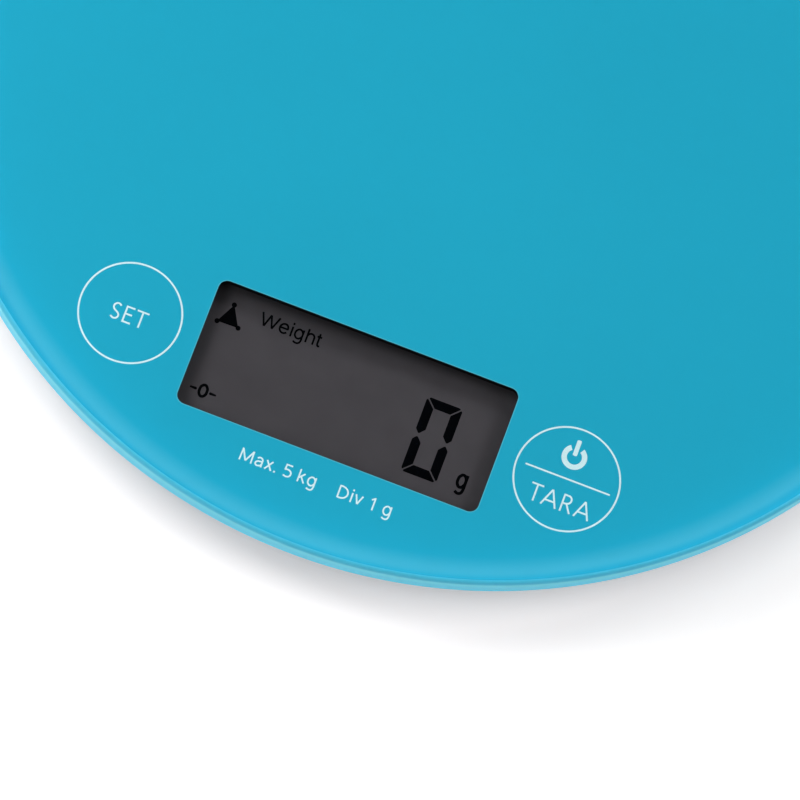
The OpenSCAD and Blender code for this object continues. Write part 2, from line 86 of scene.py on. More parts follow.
class Pick(Enum):
    """What is selected in edit mode."""

    FACES = "FACE"
    EDGES = "EDGE"


class Line(Enum):
    """How a pen stroke runs through its points: the kind of its handles, and whether it closes."""

    STRAIGHT = ("VECTOR", False)
    CURVED = ("AUTO", False)
    LOOP = ("AUTO", True)


# Materials


class NodeBench:
    """Adds the nodes of one material and joins them."""

    def __init__(self, tree: bpy.types.NodeTree) -> None:
        """Clears a node tree for work."""
        tree.nodes.clear()
        self.tree = tree

    def add(self, kind: str, sockets: dict | None = None, **settings: object) -> bpy.types.Node:
        """Adds one node.

        Args:
            kind: Blender's name for the node.
            sockets: Values for its inputs, or outputs that feed them.
            **settings: Properties of the node itself.

        Returns:
            The node.
        """
        node = self.tree.nodes.new(kind)
        for name, value in settings.items():
            setattr(node, name, value)
        for name, value in (sockets or {}).items():
            if isinstance(value, Socket):
                self.tree.links.new(value, node.inputs[name])
            else:
                node.inputs[name].default_value = value
        return node

    def place(self) -> Socket:
        """Returns the surface's own coordinates."""
        return self.add("ShaderNodeTexCoord").outputs["Object"]

    def along(self, where: Socket, axis: str) -> Socket:
        """Returns one part of a place: X, Y or Z."""
        return self.add("ShaderNodeSeparateXYZ", {"Vector": where}).outputs[axis]

    def drawn_out(self, where: Socket, scale: Point) -> Socket:
        """Returns a place scaled, so that a pattern on it is drawn out where the scale is small."""
        return self.add("ShaderNodeMapping", {"Vector": where, "Scale": scale}).outputs["Vector"]

    def noise(self, where: Socket, pitch: float, detail: float = 2.0) -> Socket:
        """Returns an even noise round a half, by the size of its blotches and its finer layers."""
        sockets = {"Vector": where, "Scale": 1 / pitch, "Detail": detail}
        return self.add("ShaderNodeTexNoise", sockets).outputs["Fac"]

    def cells(self, where: Socket, pitch: float, **settings: object) -> Socket:
        """Returns the distance from the middle of the nearest of many cells of one size."""
        sockets = {"Vector": where, "Scale": 1 / pitch}
        return self.add("ShaderNodeTexVoronoi", sockets, **settings).outputs["Distance"]

    def ramp(self, value: Socket, stops: Sequence[tuple[float, Colour]], smooth: bool = False) -> Socket:
        """Adds a run of colours over a value.

        Args:
            value: What picks the colour.
            stops: Places from 0 to 1 with their colours.
            smooth: Whether the colours ease into each other.

        Returns:
            The colour.
        """
        node = self.add("ShaderNodeValToRGB", {"Fac": value})
        run = node.color_ramp
        run.interpolation = "EASE" if smooth else "LINEAR"
        for element, (at, colour) in zip(run.elements, (stops[0], stops[-1])):
            element.position, element.color = at, (*colour, 1)
        for at, colour in stops[1:-1]:
            run.elements.new(at).color = (*colour, 1)
        return node.outputs["Color"]

    def span(self, value: Socket, low: float, high: float, to_low: float = 0.0,
             to_high: float = 1.0) -> Socket:
        """Returns a value mapped from one span to another, and held inside the second."""
        sockets = {"Value": value, "From Min": low, "From Max": high, "To Min": to_low, "To Max": to_high}
        return self.add("ShaderNodeMapRange", sockets).outputs["Result"]

    def between(self, noise: Socket, low: float, high: float) -> Socket:
        """Returns a value that wanders between two ends as a noise does."""
        return self.span(noise, NOISE_LOW, NOISE_HIGH, low, high)

    def tones(self, noise: Socket, deep: Colour, pale: Colour) -> Socket:
        """Returns a colour that wanders between two tones as a noise does."""
        return self.ramp(noise, [(NOISE_LOW, deep), (NOISE_HIGH, pale)])

    def sum_of(self, operation: str, first: object, second: object, third: object = 0.0) -> Socket:
        """Returns a sum of two or three values, by Blender's name for it."""
        return self.add("ShaderNodeMath", {0: first, 1: second, 2: third}, operation=operation).outputs[0]

    def vector(self, operation: str, first: Socket, second: Point = (0.0, 0.0, 0.0)) -> Socket:
        """Returns a sum of two vectors, by Blender's name for it."""
        return self.add("ShaderNodeVectorMath", {0: first, 1: second}, operation=operation).outputs["Vector"]

    def reach(self, where: Socket) -> Socket:
        """Returns how far a place lies from the middle, in plan."""
        flat = self.vector("MULTIPLY", where, (1.0, 1.0, 0.0))
        return self.add("ShaderNodeVectorMath", {0: flat}, operation="LENGTH").outputs["Value"]

    def paint(self, share: Socket, under: Socket, over: Colour) -> Socket:
        """Returns a colour with another laid over it, by a share from 0 to 1."""
        sockets = {0: share, 6: under, 7: (*over, 1)}
        return self.add("ShaderNodeMix", sockets, data_type="RGBA").outputs[2]

    def either(self, share: Socket, first: Socket, second: object) -> Socket:
        """Returns a value between two others, by a share from 0 to 1."""
        return self.add("ShaderNodeMix", {0: share, 2: first, 3: second}, data_type="FLOAT").outputs[0]

    def layers(self, share: Socket, under: Socket, over: Socket) -> Socket:
        """Returns a shader with another laid over it, by a share from 0 to 1."""
        return self.add("ShaderNodeMixShader", {0: share, 1: under, 2: over}).outputs["Shader"]

    def clear(self, tint: object) -> Socket:
        """Returns a see-through shader of one tint."""
        return self.add("ShaderNodeBsdfTransparent", {"Color": tint}).outputs["BSDF"]

    def relief(self, height: Socket, depth: float) -> Socket:
        """Returns the normal that a height from 0 to 1 gives, by the depth that 1 stands for."""
        sockets = {"Height": height, "Strength": 1.0, "Distance": depth}
        return self.add("ShaderNodeBump", sockets).outputs["Normal"]


@dataclass(frozen=True)
class Surface:
    """What all finishes share: a name, and a material that is made once."""

    name: str

    def material(self) -> bpy.types.Material:
        """Makes the material once, and hands the same one out after that.

        Returns:
            The material.
        """
        made = bpy.data.materials.get(self.name)
        if made is None:
            made = bpy.data.materials.new(self.name)
            made.use_nodes = True
            bench = NodeBench(made.node_tree)
            bench.add("ShaderNodeOutputMaterial", {"Surface": self.shader(bench)})
        return made

    def shader(self, bench: NodeBench) -> Socket:
        """Returns the shader, which each finish builds in its own way."""
        raise NotImplementedError(self.name)


@dataclass(frozen=True)
class Finish(Surface):
    """One kind of surface: its colour, its gloss, and how both wander over it."""

    colour: Colour
    roughness: float = 0.5
    metallic: float = 0.0
    grain: Grain = Grain.MOULDED
    pitch: float = 0.35 * MM
    depth: float = 0.004 * MM
    blotch: float = 14 * MM
    drift: float = 0.05
    uneven: float = 0.06
    shine: float = 0.5
    coat: float = 0.0
    along: Point = (1.0, 1.0, 1.0)
    fine_share: float = 0.3
    pore_edge: float = 0.6
    coat_roughness: float = 0.08
    least_roughness: float = 0.02

    def shader(self, bench: NodeBench) -> Socket:
        """Builds the nodes: blotches drive colour and roughness, and the grain drives the bump.

        Args:
            bench: Where the nodes go.

        Returns:
            The shader.
        """
        place = bench.place()
        blotches = bench.noise(place, self.blotch, 3.0)
        fine = self._pattern(bench, place)
        pale = tuple(min(1.0, c * (1 + self.drift)) for c in self.colour)
        deep = tuple(c * (1 - self.drift) for c in self.colour)
        broad = bench.sum_of("MULTIPLY", blotches, 1 - self.fine_share)
        both = bench.sum_of("MULTIPLY_ADD", fine, self.fine_share, broad)
        return bench.add("ShaderNodeBsdfPrincipled", {
            "Base Color": bench.tones(both, deep, pale),
            "Roughness": bench.between(both, max(self.least_roughness, self.roughness - self.uneven),
                                       min(1.0, self.roughness + self.uneven)),
            "Normal": bench.relief(fine, self.depth),
            "Metallic": self.metallic, "Specular IOR Level": self.shine,
            "Coat Weight": self.coat, "Coat Roughness": self.coat_roughness,
        }).outputs["BSDF"]

    def _pattern(self, bench: NodeBench, place: Socket) -> Socket:
        """Adds the fine pattern of this grain.

        Args:
            bench: Where the nodes go.
            place: The surface's coordinates.

        Returns:
            A value from 0 to 1.
        """
        if self.grain is Grain.PORES:
            return bench.span(bench.cells(place, self.pitch), 0.0, self.pore_edge)
        if self.grain is Grain.BRUSHED:
            return bench.noise(bench.drawn_out(place, self.along), self.pitch, 4.0)
        return bench.noise(place, self.pitch, 2.0 if self.grain is Grain.MOULDED else 0.0)


@dataclass(frozen=True)
class BackPrint(Surface):
    """Blue ink seen through the glass, with painted light near the rim where the rim throws light inwards,
    which falls back to a painted darker line near the edge. Paler in a thin band beside the window, with a
    hair-thin dark line at the window's edge.
    """

    name: str = "blue_back_print"
    face: Colour = (0.0195, 0.427, 0.620)
    glow: Colour = (0.0660, 0.480, 0.650)
    shade: Colour = (0.0300, 0.435, 0.625)
    glow_from: float = 86.4 * MM
    glow_at: float = 89.4 * MM
    shade_at: float = 90.5 * MM
    edge: float = 92.0 * MM
    cloud: float = 60 * MM
    cloudy: Run = (0.25, 0.75, 0.985, 1.015)
    roughness: Spot = (0.55, 0.65)
    weave: float = 0.2 * MM
    weave_depth: float = 0.001 * MM
    window_at: Point = (0.0, -64.2 * MM, 0.0)
    window_core: Point = (24.5 * MM, 9.5 * MM, 0.0)
    window_round: float = 1.5 * MM
    # Paler in a thin band just outside the window, and dark in a hair-thin line at the window's edge.
    pale_band: Colour = (0.115, 0.520, 0.660)
    pale_band_outer: float = 0.24 * MM
    pale_band_inner: float = 0.096 * MM
    window_dark_line: Colour = (0.004, 0.030, 0.045)
    window_dark_width: float = 0.035 * MM

    def shader(self, bench: NodeBench) -> Socket:
        """Builds the nodes: colour by the distance from the middle, which paints light near the rim, and
        from the window, and a faint weave.

        Args:
            bench: Where the nodes go.

        Returns:
            The shader.
        """
        place = bench.place()
        width = self.edge - self.glow_from
        # The glow stop is painted light thrown in from the rim, and the shade stop the painted darker line
        # where that light ends.
        ringed = bench.ramp(bench.span(bench.reach(place), self.glow_from, self.edge), [
            (0.0, self.face), ((self.glow_at - self.glow_from) / width, self.glow),
            ((self.shade_at - self.glow_from) / width, self.shade), (1.0, self.shade),
        ], smooth=True)
        cloud = bench.noise(place, self.cloud, 1.0)
        level = bench.span(cloud, *self.cloudy)
        clouded = bench.add("ShaderNodeVectorMath", {0: ringed, "Scale": level}, operation="SCALE")
        off = self._off_window(bench, place)
        beside = bench.span(off, self.pale_band_outer, self.pale_band_inner)
        paler = bench.paint(beside, clouded.outputs["Vector"], self.pale_band)
        dark_line_share = bench.span(off, 2 * self.window_dark_width, self.window_dark_width)
        return bench.add("ShaderNodeBsdfPrincipled", {
            "Base Color": bench.paint(dark_line_share, paler, self.window_dark_line),
            "Roughness": bench.between(cloud, *self.roughness),
            "Normal": bench.relief(bench.noise(place, self.weave), self.weave_depth),
            "Specular IOR Level": 0.0,
        }).outputs["BSDF"]

    def _off_window(self, bench: NodeBench, place: Socket) -> Socket:
        """Adds the distance from the display window's edge.

        Args:
            bench: Where the nodes go.
            place: The surface's coordinates.

        Returns:
            The distance, which is below nothing inside the window.
        """
        folded = bench.vector("ABSOLUTE", bench.vector("SUBTRACT", place, self.window_at))
        outside = bench.vector("MAXIMUM", bench.vector("SUBTRACT", folded, self.window_core))
        return bench.sum_of("SUBTRACT", bench.reach(outside), self.window_round)


@dataclass(frozen=True)
class PolishedGlass(Surface):
    """Clear glass that shows what lies under it and mirrors more at a slant."""

    name: str = "polished_glass"
    tint: Colour = (0.985, 0.995, 0.995)
    head_on: float = 0.04
    falloff: float = 5.0
    smear: float = 25 * MM
    smears: Run = (0.35, 0.75, 0.02, 0.06)

    def shader(self, bench: NodeBench) -> Socket:
        """Builds the nodes: a see-through shader under a mirror whose share grows with the slant.

        Args:
            bench: Where the nodes go.

        Returns:
            The shader.
        """
        slant = bench.add("ShaderNodeLayerWeight", {"Blend": 0.5}).outputs["Facing"]
        grown = bench.sum_of("POWER", slant, self.falloff)
        share = bench.sum_of("MULTIPLY_ADD", grown, 1 - self.head_on, self.head_on)
        smeared = bench.span(bench.noise(bench.place(), self.smear, 4.0), *self.smears)
        mirror = bench.add("ShaderNodeBsdfGlossy", {"Roughness": smeared})
        return bench.layers(share, bench.clear((*self.tint, 1)), mirror.outputs["BSDF"])


@dataclass(frozen=True)
class InkedGlass(Surface):
    """The underside of the glass. Ink is fired onto it, so nothing is mirrored there."""

    name: str = "inked_glass"
    tint: Colour = (0.99, 1.0, 1.0)
    darker: float = 0.99
    patch: float = 40 * MM

    def shader(self, bench: NodeBench) -> Socket:
        """Builds the nodes: a clear shader, a trace darker in patches.

        Args:
            bench: Where the nodes go.

        Returns:
            The shader.
        """
        deep = tuple(self.darker * c for c in self.tint)
        return bench.clear(bench.tones(bench.noise(bench.place(), self.patch), deep, self.tint))


@dataclass(frozen=True)
class GroundGlass(Surface):
    """The ground rim of the glass: satin light blue, paler than the print as ground glass is, with painted
    light by height: a painted reflection of the pale table makes it palest near its shoulder, and painted
    shade darkens it towards the top. A faint glow comes from within.
    """

    name: str = "ground_glass"
    # Painted light by height: middle is a painted reflection of the table at the shoulder, upper is painted
    # shade at the rounded top.
    upper: Colour = (0.075, 0.460, 0.635)
    middle: Colour = (0.200, 0.700, 0.880)
    lower: Colour = (0.085, 0.540, 0.780)
    within: Colour = (0.040, 0.230, 0.250)
    low: float = 13.0 * MM
    high: float = 18.0 * MM
    shoulder: float = 17.3 * MM
    scratch: float = 0.12 * MM
    scratch_depth: float = 0.004 * MM
    round_the_rim: Point = (0.15, 0.15, 1.0)
    stray: float = 0.06
    roughness: Spot = (0.38, 0.5)
    shine: float = 0.08
    shadow_tint: Colour = (0.85, 0.97, 1.0)
    passes: float = 0.7

    def shader(self, bench: NodeBench) -> Socket:
        """Builds the nodes: colour by height, which paints light and shade on the rim, the wheel's fine
        scratches, and a shadow that lets light by.

        Args:
            bench: Where the nodes go.

        Returns:
            The shader.
        """
        place = bench.place()
        scratches = bench.noise(bench.drawn_out(place, self.round_the_rim), self.scratch, 3.0)
        level = bench.span(bench.along(place, "Z"), self.low, self.high)
        wander = bench.sum_of("MULTIPLY_ADD", bench.sum_of("SUBTRACT", scratches, 0.5), self.stray, level)
        satin = bench.add("ShaderNodeBsdfPrincipled", {
            "Base Color": bench.ramp(wander, [
                (0.0, self.lower), ((self.shoulder - self.low) / (self.high - self.low), self.middle),
                (1.0, self.upper),
            ]),
            "Roughness": bench.between(scratches, *self.roughness),
            "Normal": bench.relief(scratches, self.scratch_depth),
            "Specular IOR Level": self.shine,
        })
        inner = bench.add("ShaderNodeBsdfTranslucent", {"Color": (*self.within, 1)})
        lit = bench.add("ShaderNodeAddShader", {0: satin.outputs["BSDF"], 1: inner.outputs["BSDF"]})
        shadow = bench.add("ShaderNodeLightPath").outputs["Is Shadow Ray"]
        passed = bench.sum_of("MULTIPLY", shadow, self.passes)
        return bench.layers(passed, lit.outputs["Shader"], bench.clear((*self.shadow_tint, 1)))


@dataclass(frozen=True)
class SolderMask(Surface):
    """Green lacquer over copper tracks."""

    name: str = "green_lacquer"
    lacquer: Colour = (0.010, 0.130, 0.040)
    over_copper: Colour = (0.022, 0.210, 0.060)
    pitch: float = 2.6 * MM
    track: Spot = (0.42, 0.50)
    depth: float = 0.02 * MM
    patch: float = 3 * MM
    roughness: Spot = (0.22, 0.34)
    coat: float = 0.3
    coat_roughness: float = 0.1

    def shader(self, bench: NodeBench) -> Socket:
        """Builds the nodes: square cells whose borders are the tracks.

        Args:
            bench: Where the nodes go.

        Returns:
            The shader.
        """
        place = bench.place()
        cells = bench.cells(place, self.pitch, distance="CHEBYCHEV", feature="F1")
        track = bench.span(cells, *self.track)
        return bench.add("ShaderNodeBsdfPrincipled", {
            "Base Color": bench.ramp(track, [(0.0, self.lacquer), (1.0, self.over_copper)]),
            "Roughness": bench.between(bench.noise(place, self.patch), *self.roughness),
            "Normal": bench.relief(track, self.depth),
            "Coat Weight": self.coat, "Coat Roughness": self.coat_roughness,
        }).outputs["BSDF"]


@dataclass(frozen=True)
class TablePaper(Surface):
    """The table's white, which fades into the background away from the scale.

    Each run is a distance from the scale's middle, or to its right, with the light that the paper adds for
    the eye at both ends.
    """

    name: str = "table_white"
    deep: Colour = (0.92, 0.92, 0.92)
    pale: Colour = (0.94, 0.94, 0.94)
    patch: float = 50 * MM
    # The runs near the scale paint its shadow on the paper: less light is added under the disc and towards
    # its right, more just beside it, and near the scale the added light is warm.
    under_disc: Run = (80.0 * MM, 88.8 * MM, 0.10, 0.37)
    beside_disc: Run = (89.3 * MM, 98.0 * MM, 0.0, 0.35)
    most_by_side: Run = (10.0 * MM, 75.0 * MM, 0.72, 0.43)
    far: Run = (120.0 * MM, 800.0 * MM, 0.30, 1.00)
    warm: Colour = (1.0, 0.91, 0.895)
    warm_near: Spot = (110.0 * MM, 250.0 * MM)

    def shader(self, bench: NodeBench) -> Socket:
        """Builds the nodes: plain paper, and light of its own that only the camera and mirrors see.

        Args:
            bench: Where the nodes go.

        Returns:
            The shader.
        """
        place = bench.place()
        out = bench.reach(place)
        path = bench.add("ShaderNodeLightPath").outputs
        mirrored = bench.sum_of("MAXIMUM", path["Is Glossy Ray"], path["Is Transmission Ray"])
        seen = bench.sum_of("MAXIMUM", path["Is Camera Ray"], mirrored)
        rise = bench.sum_of("ADD", bench.span(out, *self.under_disc), bench.span(out, *self.beside_disc))
        near = bench.sum_of("MINIMUM", rise, bench.span(bench.along(place, "X"), *self.most_by_side))
        lift = bench.sum_of("MAXIMUM", near, bench.span(out, *self.far))
        white = bench.tones(bench.noise(place, self.patch), self.deep, self.pale)
        paper = bench.add("ShaderNodeBsdfDiffuse", {"Color": white})
        hue = bench.ramp(bench.span(out, *self.warm_near), [(0.0, self.warm), (1.0, (1.0, 1.0, 1.0))])
        strength = bench.sum_of("MULTIPLY", seen, lift)
        glow = bench.add("ShaderNodeEmission", {"Color": hue, "Strength": strength})
        both = bench.add("ShaderNodeAddShader", {0: paper.outputs["BSDF"], 1: glow.outputs["Emission"]})
        return both.outputs["Shader"]


CLEAR_PLATE = PolishedGlass("clear_plate", (0.96, 0.965, 0.965), 0.0)
BASE_PLASTIC = Finish("moulded_base", (0.020, 0.330, 0.480), 0.42, pitch=0.30 * MM, depth=0.010 * MM)
TRAY_PLASTIC = Finish("moulded_tray", (0.020, 0.300, 0.440), 0.45, pitch=0.30 * MM, depth=0.010 * MM)
WHITE_INK = Finish("white_ink", (0.74, 0.96, 1.0), 0.6, pitch=0.2 * MM, depth=0.001 * MM, drift=0.02,
                   shine=0.0)
LCD_INK = Finish("lcd_ink", (0.0006, 0.0010, 0.0018), 0.5, depth=0.0005 * MM, blotch=4 * MM, drift=0.2,
                 shine=0.0)
LCD_FILM = Finish("lcd_film", (0.0730, 0.0650, 0.0720), 0.45, pitch=0.25 * MM, depth=0.0008 * MM,
                  blotch=5 * MM, drift=0.07, shine=0.08)
LCD_GLASS = Finish("lcd_glass", (0.70, 0.75, 0.74), 0.08, grain=Grain.SMOOTH, depth=0.0005 * MM, coat=0.5)
FOAM = Finish("black_foam", (0.0050, 0.0050, 0.0056), 0.95, grain=Grain.PORES, pitch=0.18 * MM,
              depth=0.05 * MM, drift=0.25, shine=0.02)
TAPE = Finish("white_tape", (0.70, 0.70, 0.66), 0.9, grain=Grain.PORES, pitch=0.15 * MM, depth=0.03 * MM,
              shine=0.2)
ZEBRA = Finish("striped_rubber", (0.40, 0.10, 0.20), 0.6, grain=Grain.BRUSHED, pitch=0.1 * MM,
               depth=0.01 * MM, drift=0.5, along=(1.0, 0.02, 0.02))
EPOXY = Finish("black_epoxy", (0.010, 0.010, 0.011), 0.18, grain=Grain.SMOOTH, pitch=2 * MM,
               depth=0.02 * MM, coat=0.6)
CERAMIC = Finish("fired_ceramic", (0.35, 0.25, 0.13), 0.5, pitch=0.1 * MM, depth=0.003 * MM,
                 blotch=1.5 * MM, drift=0.18)
ZINC = Finish("zinc_plate", (0.62, 0.62, 0.64), 0.30, 1.0, pitch=0.12 * MM, depth=0.003 * MM,
              blotch=2 * MM, drift=0.1)
SPRING_WIRE = Finish("bright_wire", (0.66, 0.63, 0.56), 0.24, 1.0, Grain.BRUSHED, 0.08 * MM, 0.002 * MM,
                     2 * MM, 0.1)
SHEET_STEEL = Finish("galvanised_sheet", (0.56, 0.57, 0.59), 0.36, 1.0, Grain.BRUSHED, 0.06 * MM,
                     0.003 * MM, 9 * MM, 0.12, along=(0.05, 1.0, 1.0))
ALUMINIUM = Finish("milled_aluminium", (0.74, 0.75, 0.76), 0.32, 1.0, Grain.BRUSHED, 0.08 * MM,
                   0.004 * MM, 6 * MM, 0.06, along=(0.06, 1.0, 1.0))
FOIL = Finish("amber_foil", (0.50, 0.25, 0.06), 0.25, grain=Grain.BRUSHED, pitch=0.25 * MM,
              depth=0.004 * MM, drift=0.3, coat=0.4, along=(0.1, 1.0, 1.0))
SILICONE = Finish("white_silicone", (0.80, 0.80, 0.76), 0.38, grain=Grain.SMOOTH, pitch=2.5 * MM,
                  depth=0.06 * MM, drift=0.03)
RED_PVC = Finish("red_pvc", (0.50, 0.020, 0.020), 0.36, pitch=0.2 * MM, depth=0.002 * MM, drift=0.08)
BLACK_PVC = Finish("black_pvc", (0.012, 0.012, 0.012), 0.38, pitch=0.2 * MM, depth=0.002 * MM, drift=0.15)
NICKEL = Finish("nickel_can", (0.68, 0.67, 0.66), 0.22, 1.0, Grain.BRUSHED, 0.05 * MM, 0.002 * MM,
                5 * MM, 0.06, along=(0.08, 1.0, 1.0))
PLATED_STRIP = Finish("plated_strip", (0.70, 0.60, 0.36), 0.26, 1.0, pitch=0.1 * MM, depth=0.002 * MM,
                      blotch=2 * MM, drift=0.1)
RUBBER = Finish("black_rubber", (0.020, 0.020, 0.022), 0.72, pitch=0.16 * MM, depth=0.012 * MM,
                drift=0.15, shine=0.3)


# Bench work


class Workpiece:
    """One mesh under work. Its operators act on it alone, and a with block opens it in edit mode."""

    def __init__(self, name: str) -> None:
        """Takes up the object that an operator has just made, under a new name."""
        self.thing = bpy.context.object
        self.thing.name = self.thing.data.name = name

    def __enter__(self) -> "Workpiece":
        """Opens the piece in edit mode.

        Returns:
            The piece.
        """
        bpy.context.view_layer.objects.active = self.thing
        bpy.ops.object.mode_set(mode="EDIT")
        return self

    def __exit__(self, *trouble: object) -> None:
        """Closes edit mode."""
        bpy.ops.object.mode_set(mode="OBJECT")

    @staticmethod
    def clear_bench() -> None:
        """Deselects everything."""
        for thing in list(bpy.context.selected_objects):
            thing.select_set(False)

    @classmethod
    def round_bar(cls, name: str, radius: float, low: float, high: float, at: Spot = (0.0, 0.0),
                  sides: int = 96) -> "Workpiece":
        """Starts from an upright cylinder.

        Args:
            name: What the piece is called.
            radius: Its radius.
            low: Height of its lower face.
            high: Height of its upper face.
            at: Its middle in plan.
            sides: How many sides it has.

        Returns:
            The piece.
        """
        cls.clear_bench()
        bpy.ops.mesh.primitive_cylinder_add(vertices=sides, radius=radius, depth=high - low,
                                            location=(*at, (low + high) / 2))
        return cls(name).settle()

    @classmethod
    def block(cls, name: str, low: Point, high: Point) -> "Workpiece":
        """Starts from a box between two corners.

        Args:
            name: What the piece is called.
            low: Its lowest corner.
            high: Its highest corner.

        Returns:
            The piece.
        """
        cls.clear_bench()
        middle = [(a + b) / 2 for a, b in zip(low, high)]
        bpy.ops.mesh.primitive_cube_add(size=1, location=middle, scale=[b - a for a, b in zip(low, high)])
        return cls(name).settle()

    @classmethod
    def from_node(cls, name: str, node: str) -> "Workpiece":
        """Starts from a merged copy of a frame node.

        Args:
            name: What the piece is called.
            node: The node that is copied.

        Returns:
            The piece, with whole faces in place of triangles.
        """
        cls.clear_bench()
        thing = bpy.data.objects.new(name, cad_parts[node].data.copy())
        bpy.context.scene.collection.objects.link(thing)
        thing.select_set(True)
        bpy.context.view_layer.objects.active = thing
        bpy.ops.mesh.customdata_custom_splitnormals_clear()
        with cls(name) as piece:
            piece.merge()
            piece.flatten()
        return piece

    @classmethod
    def drawn_tube(cls, name: str, points: Sequence[Point], across: float) -> "Workpiece":
        """Draws a round tube on a smooth curve through points.

        Args:
            name: What the piece is called.
            points: The points.
            across: The tube's diameter.

        Returns:
            The tube with closed ends.
        """
        curve = blank_curve("3D", 4)
        spline = curve.splines.new("BEZIER")
        spline.bezier_points.add(len(points) - 1)
        for knot, point in zip(spline.bezier_points, points):
            knot.co = point
            knot.handle_left_type = knot.handle_right_type = "AUTO"
        curve.bevel_depth, curve.bevel_resolution = across / 2, 2
        curve.use_fill_caps = True
        bpy.ops.object.convert(target="MESH")
        with cls(name) as tube:
            tube.merge(0.1 * TOUCHING)
            tube.face_out()
        return tube.shade()

    @staticmethod
    def merge(gap: float = TOUCHING) -> None:
        """Merges all doubles, in edit mode."""
        bpy.ops.mesh.select_all(action="SELECT")
        bpy.ops.mesh.remove_doubles(threshold=gap)

    @staticmethod
    def flatten() -> None:
        """Makes whole faces of selected ones that lie in one plane, in edit mode."""
        bpy.ops.mesh.dissolve_limited(angle_limit=math.radians(0.5))

    @staticmethod
    def face_out() -> None:
        """Turns all faces outwards, in edit mode."""
        bpy.ops.mesh.select_all(action="SELECT")
        bpy.ops.mesh.normals_make_consistent(inside=False)

    @staticmethod
    def draw_up(height: float) -> None:
        """Extrudes what is selected straight up, in edit mode."""
        bpy.ops.mesh.extrude_region_move(TRANSFORM_OT_translate={"value": (0, 0, height)})

    def pick(self, kind: Pick, test: Callable[[object], bool]) -> None:
        """Selects parts of the mesh, in edit mode.

        Args:
            kind: Whether faces or edges are tested.
            test: Says whether a face or an edge is picked.
        """
        bpy.ops.mesh.select_mode(type=kind.value)
        bpy.ops.mesh.select_all(action="DESELECT")
        mesh = bmesh.from_edit_mesh(self.thing.data)
        for item in [x for x in (mesh.faces if kind is Pick.FACES else mesh.edges) if test(x)]:
            item.select_set(True)
        bmesh.update_edit_mesh(self.thing.data)

    def round_off(self, test: Callable[[object], bool], width: float, segments: int) -> None:
        """Rounds the edges that a test picks, in edit mode."""
        self.pick(Pick.EDGES, test)
        bpy.ops.mesh.bevel(offset=width, offset_type="OFFSET", segments=segments, affect="EDGES")

    def settle(self) -> "Workpiece":
        """Puts the object's place, turn and size into its mesh."""
        bpy.ops.object.transform_apply(location=True, rotation=True, scale=True)
        return self

    def hold(self, *others: "Workpiece") -> None:
        """Selects this piece with some others, or alone, and makes it the active one.

        Args:
            *others: The pieces that are selected with it.
        """
        self.clear_bench()
        for piece in (*others, self):
            piece.thing.select_set(True)
        bpy.context.view_layer.objects.active = self.thing

    def modify(self, kind: str, **settings: object) -> "Workpiece":
        """Adds a modifier and applies it.

        Args:
            kind: Blender's name for the modifier.
            **settings: Its properties.

        Returns:
            The piece.
        """
        bpy.context.view_layer.objects.active = self.thing
        bpy.ops.object.modifier_add(type=kind)
        added = self.thing.modifiers[-1]
        for name, value in settings.items():
            setattr(added, name, value)
        bpy.ops.object.modifier_apply(modifier=added.name)
        return self

    def soften(self, width: float, segments: int = 2, angle: float = 35.0) -> "Workpiece":
        """Rounds edges that turn by more than an angle, and shades the piece."""
        limit = math.radians(angle)
        return self.modify("BEVEL", width=width, segments=segments, limit_method="ANGLE",
                           angle_limit=limit).shade()

    def shade(self, angle: float = 50.0) -> "Workpiece":
        """Shades curves smooth and keeps broad faces flat.

        Args:
            angle: Edges that turn by more degrees than this stay sharp.

        Returns:
            The piece.
        """
        self.hold()
        bpy.ops.object.shade_smooth_by_angle(angle=math.radians(angle))
        return self.modify("WEIGHTED_NORMAL", keep_sharp=True)

    def take_in(self, others: Sequence["Workpiece"]) -> "Workpiece":
        """Joins other pieces of the same print or moulding into this one.

        Args:
            others: The pieces that it takes in.

        Returns:
            The piece.
        """
        self.hold(*others)
        bpy.ops.object.join()
        return self

    def copy_to(self, name: str, shift: Point) -> "Workpiece":
        """Makes a copy with a mesh of its own.

        Args:
            name: What the copy is called.
            shift: How far it lies from this one.

        Returns:
            The copy.
        """
        self.hold()
        bpy.ops.object.duplicate(linked=False)
        copy = Workpiece(name)
        copy.thing.location = shift
        return copy.settle()

    def coat(self, *finishes: Surface) -> "Workpiece":
        """Gives the piece its finishes, one to a material slot.

        Args:
            *finishes: The finishes, in the order of the slots.

        Returns:
            The piece.
        """
        self.thing.data.materials.clear()
        for finish in finishes:
            self.thing.data.materials.append(finish.material())
        return self

    def mount(self, body: Body, slot: str, *nodes: str) -> None:
        """Puts the finished piece on its body.

        Args:
            body: The body that it rides on.
            slot: Not used.
            *nodes: The frame nodes that it stands for.
        """
        if nodes:
            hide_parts(*nodes)
        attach(self.thing, body.value)
        self._report(f"on {body.value}")

    def hang(self, slot: str, node: str, start: Point, end: Point) -> None:
        """Bakes the finished piece's place into its mesh and hides the frame node that it stands for.

        Args:
            slot: Not used.
            node: The frame node that it stands for.
            start: Not used.
            end: Not used.
        """
        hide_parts(node)
        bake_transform(self.thing)
        self._report("from base to platform")

    def _report(self, where: str) -> None:
        """Logs the finished piece."""
        log.info("%s: %d faces, %s", self.thing.name, len(self.thing.data.polygons), where)


def blank_curve(dimensions: str, steps: int) -> bpy.types.Curve:
    """Starts an empty curve.

    Args:
        dimensions: 2D for a filled outline, or 3D for a line in space.
        steps: How many steps lead from one knot to the next.

    Returns:
        The curve, whose object is the active one.
    """
    Workpiece.clear_bench()
    bpy.ops.curve.primitive_bezier_curve_add()
    curve = bpy.context.object.data
    curve.splines.clear()
    curve.dimensions, curve.resolution_u = dimensions, steps
    return curve


# Lettering


STRAIGHT, CURVED, LOOP = Line
Stroke = tuple[Line | Spot, ...]

